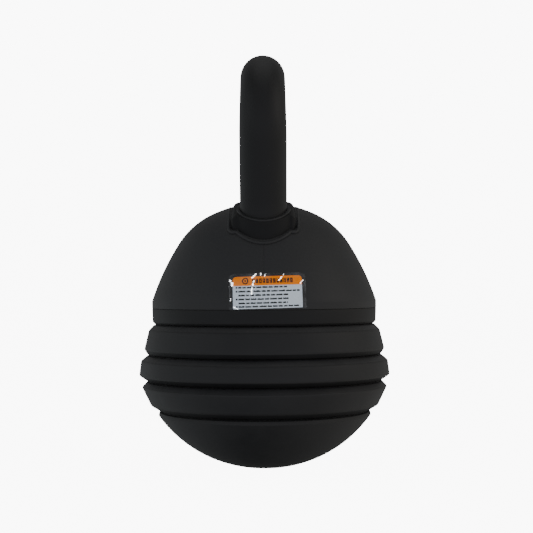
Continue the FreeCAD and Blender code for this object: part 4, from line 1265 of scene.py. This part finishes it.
def softbox(name, place, width, power, colour=(1.0, 1.0, 1.0)):
    """A square soft light aimed at the middle of the object."""
    lamp = bpy.data.lights.new(name, "AREA")
    lamp.shape = "RECTANGLE"
    lamp.size = width
    lamp.size_y = width
    lamp.energy = power
    lamp.color = colour
    holder = bpy.data.objects.new(name, lamp)
    holder.location = place
    way = Vector((0.0, 0.0, 0.15)) - Vector(place)
    holder.rotation_euler = way.to_track_quat("-Z", "Y").to_euler()
    bpy.context.scene.collection.objects.link(holder)


ROOM_PANELS = (
    # direction the panel lies in, where it starts and is full towards it, strength, colour
    ((0.0, -1.0, 0.0), 0.3, 0.9, 0.82, (0.98, 0.98, 1.06, 1.0)),
    ((0.0, -0.8, -0.6), 0.5, 0.95, 0.09, (0.98, 0.98, 1.06, 1.0)),
    ((-0.98, 0.0, -0.2), 0.45, 0.9, 0.44, (0.93, 0.97, 1.0, 1.0)),
    ((-0.80, 0.55, -0.25), 0.6, 0.95, 0.24, (0.93, 1.0, 1.0, 1.0)),
    ((0.80, 0.55, -0.25), 0.6, 0.95, 0.18, (0.97, 1.0, 0.98, 1.0)),
    ((1.0, 0.0, 0.0), 0.4, 0.9, 0.16, (1.0, 0.96, 0.90, 1.0)),
    ((-0.85, 0.0, -0.53), 0.5, 0.95, 0.12, (0.93, 0.97, 1.0, 1.0)),
    ((0.85, 0.0, -0.53), 0.5, 0.95, 0.46, (1.0, 0.96, 0.90, 1.0)),
    ((0.0, 0.9, 0.44), 0.3, 0.95, 0.25, (1.0, 1.0, 1.0, 1.0)),
    ((0.0, 0.0, 1.0), 0.3, 0.8, 0.05, (0.97, 0.98, 1.0, 1.0)),
)


def room():
    """A dark room with soft white panels in front, behind, above, at both sides and low down."""
    world = bpy.data.worlds.new("studio")
    bpy.context.scene.world = world
    world.use_nodes = True
    tree = world.node_tree
    place = new_node(tree, "ShaderNodeTexCoord")
    tree.nodes["Background"].inputs["Strength"].default_value = 0.0
    total = tree.nodes["Background"].outputs["Background"]
    for number, (direction, start, full, strength, colour) in enumerate(ROOM_PANELS, start=1):
        facing = new_node(tree, "ShaderNodeVectorMath")
        facing.operation = "DOT_PRODUCT"
        facing.inputs[1].default_value = direction
        tree.links.new(place.outputs["Generated"], facing.inputs[0])
        level = new_node(tree, "ShaderNodeMapRange", From_Min=start, From_Max=full,
                         To_Min=0.0, To_Max=strength)
        level.name = f"panel_{number}"
        tree.links.new(facing.outputs["Value"], level.inputs["Value"])
        panel = new_node(tree, "ShaderNodeBackground", Color=colour)
        tree.links.new(level.outputs["Result"], panel.inputs["Strength"])
        both = new_node(tree, "ShaderNodeAddShader")
        tree.links.new(total, both.inputs[0])
        tree.links.new(panel.outputs["Background"], both.inputs[1])
        total = both.outputs["Shader"]
    tree.links.new(total, tree.nodes["World Output"].inputs["Surface"])


def studio():
    """The room, a white sweep, and soft lights from the right, the left and above."""
    room()
    studio_sweep()
    softbox("right_light", (1.5, -0.4, 0.9), 1.2, 7.0, (1.0, 0.95, 0.88))
    softbox("left_light", (-1.5, -0.5, 0.9), 1.2, 3.0, (0.94, 0.97, 1.0))
    softbox("top_light", (0.0, 0.0, 2.0), 1.8, 7.0)


def camera():
    """The viewing angle: level with the dome's rim, looking along +Y at the handle's edge."""
    lens = bpy.data.cameras.new("camera")
    lens.sensor_width = 36.0
    lens.lens = 84.73
    lens.shift_y = 0.0318
    lens.clip_start = 0.05
    lens.clip_end = 50.0
    holder = bpy.data.objects.new("camera", lens)
    holder.location = (0.0019, -0.945, 0.1365)
    holder.rotation_euler = (math.radians(90.0), math.radians(0.34), 0.0)
    bpy.context.scene.collection.objects.link(holder)
    bpy.context.scene.camera = holder


# ---------------------------------------------------------------- build

camera()
studio()
paint_cad_nodes()
bottom_weight()
for weight_number in (3, 2, 1):
    ring_weight(weight_number)
base_cover()
for half_side in (-1.0, 1.0):
    dome_half(half_side)
label()
bridge()
opening_bead()
grip()
knob()
dial_numbers()
dial_pointer()
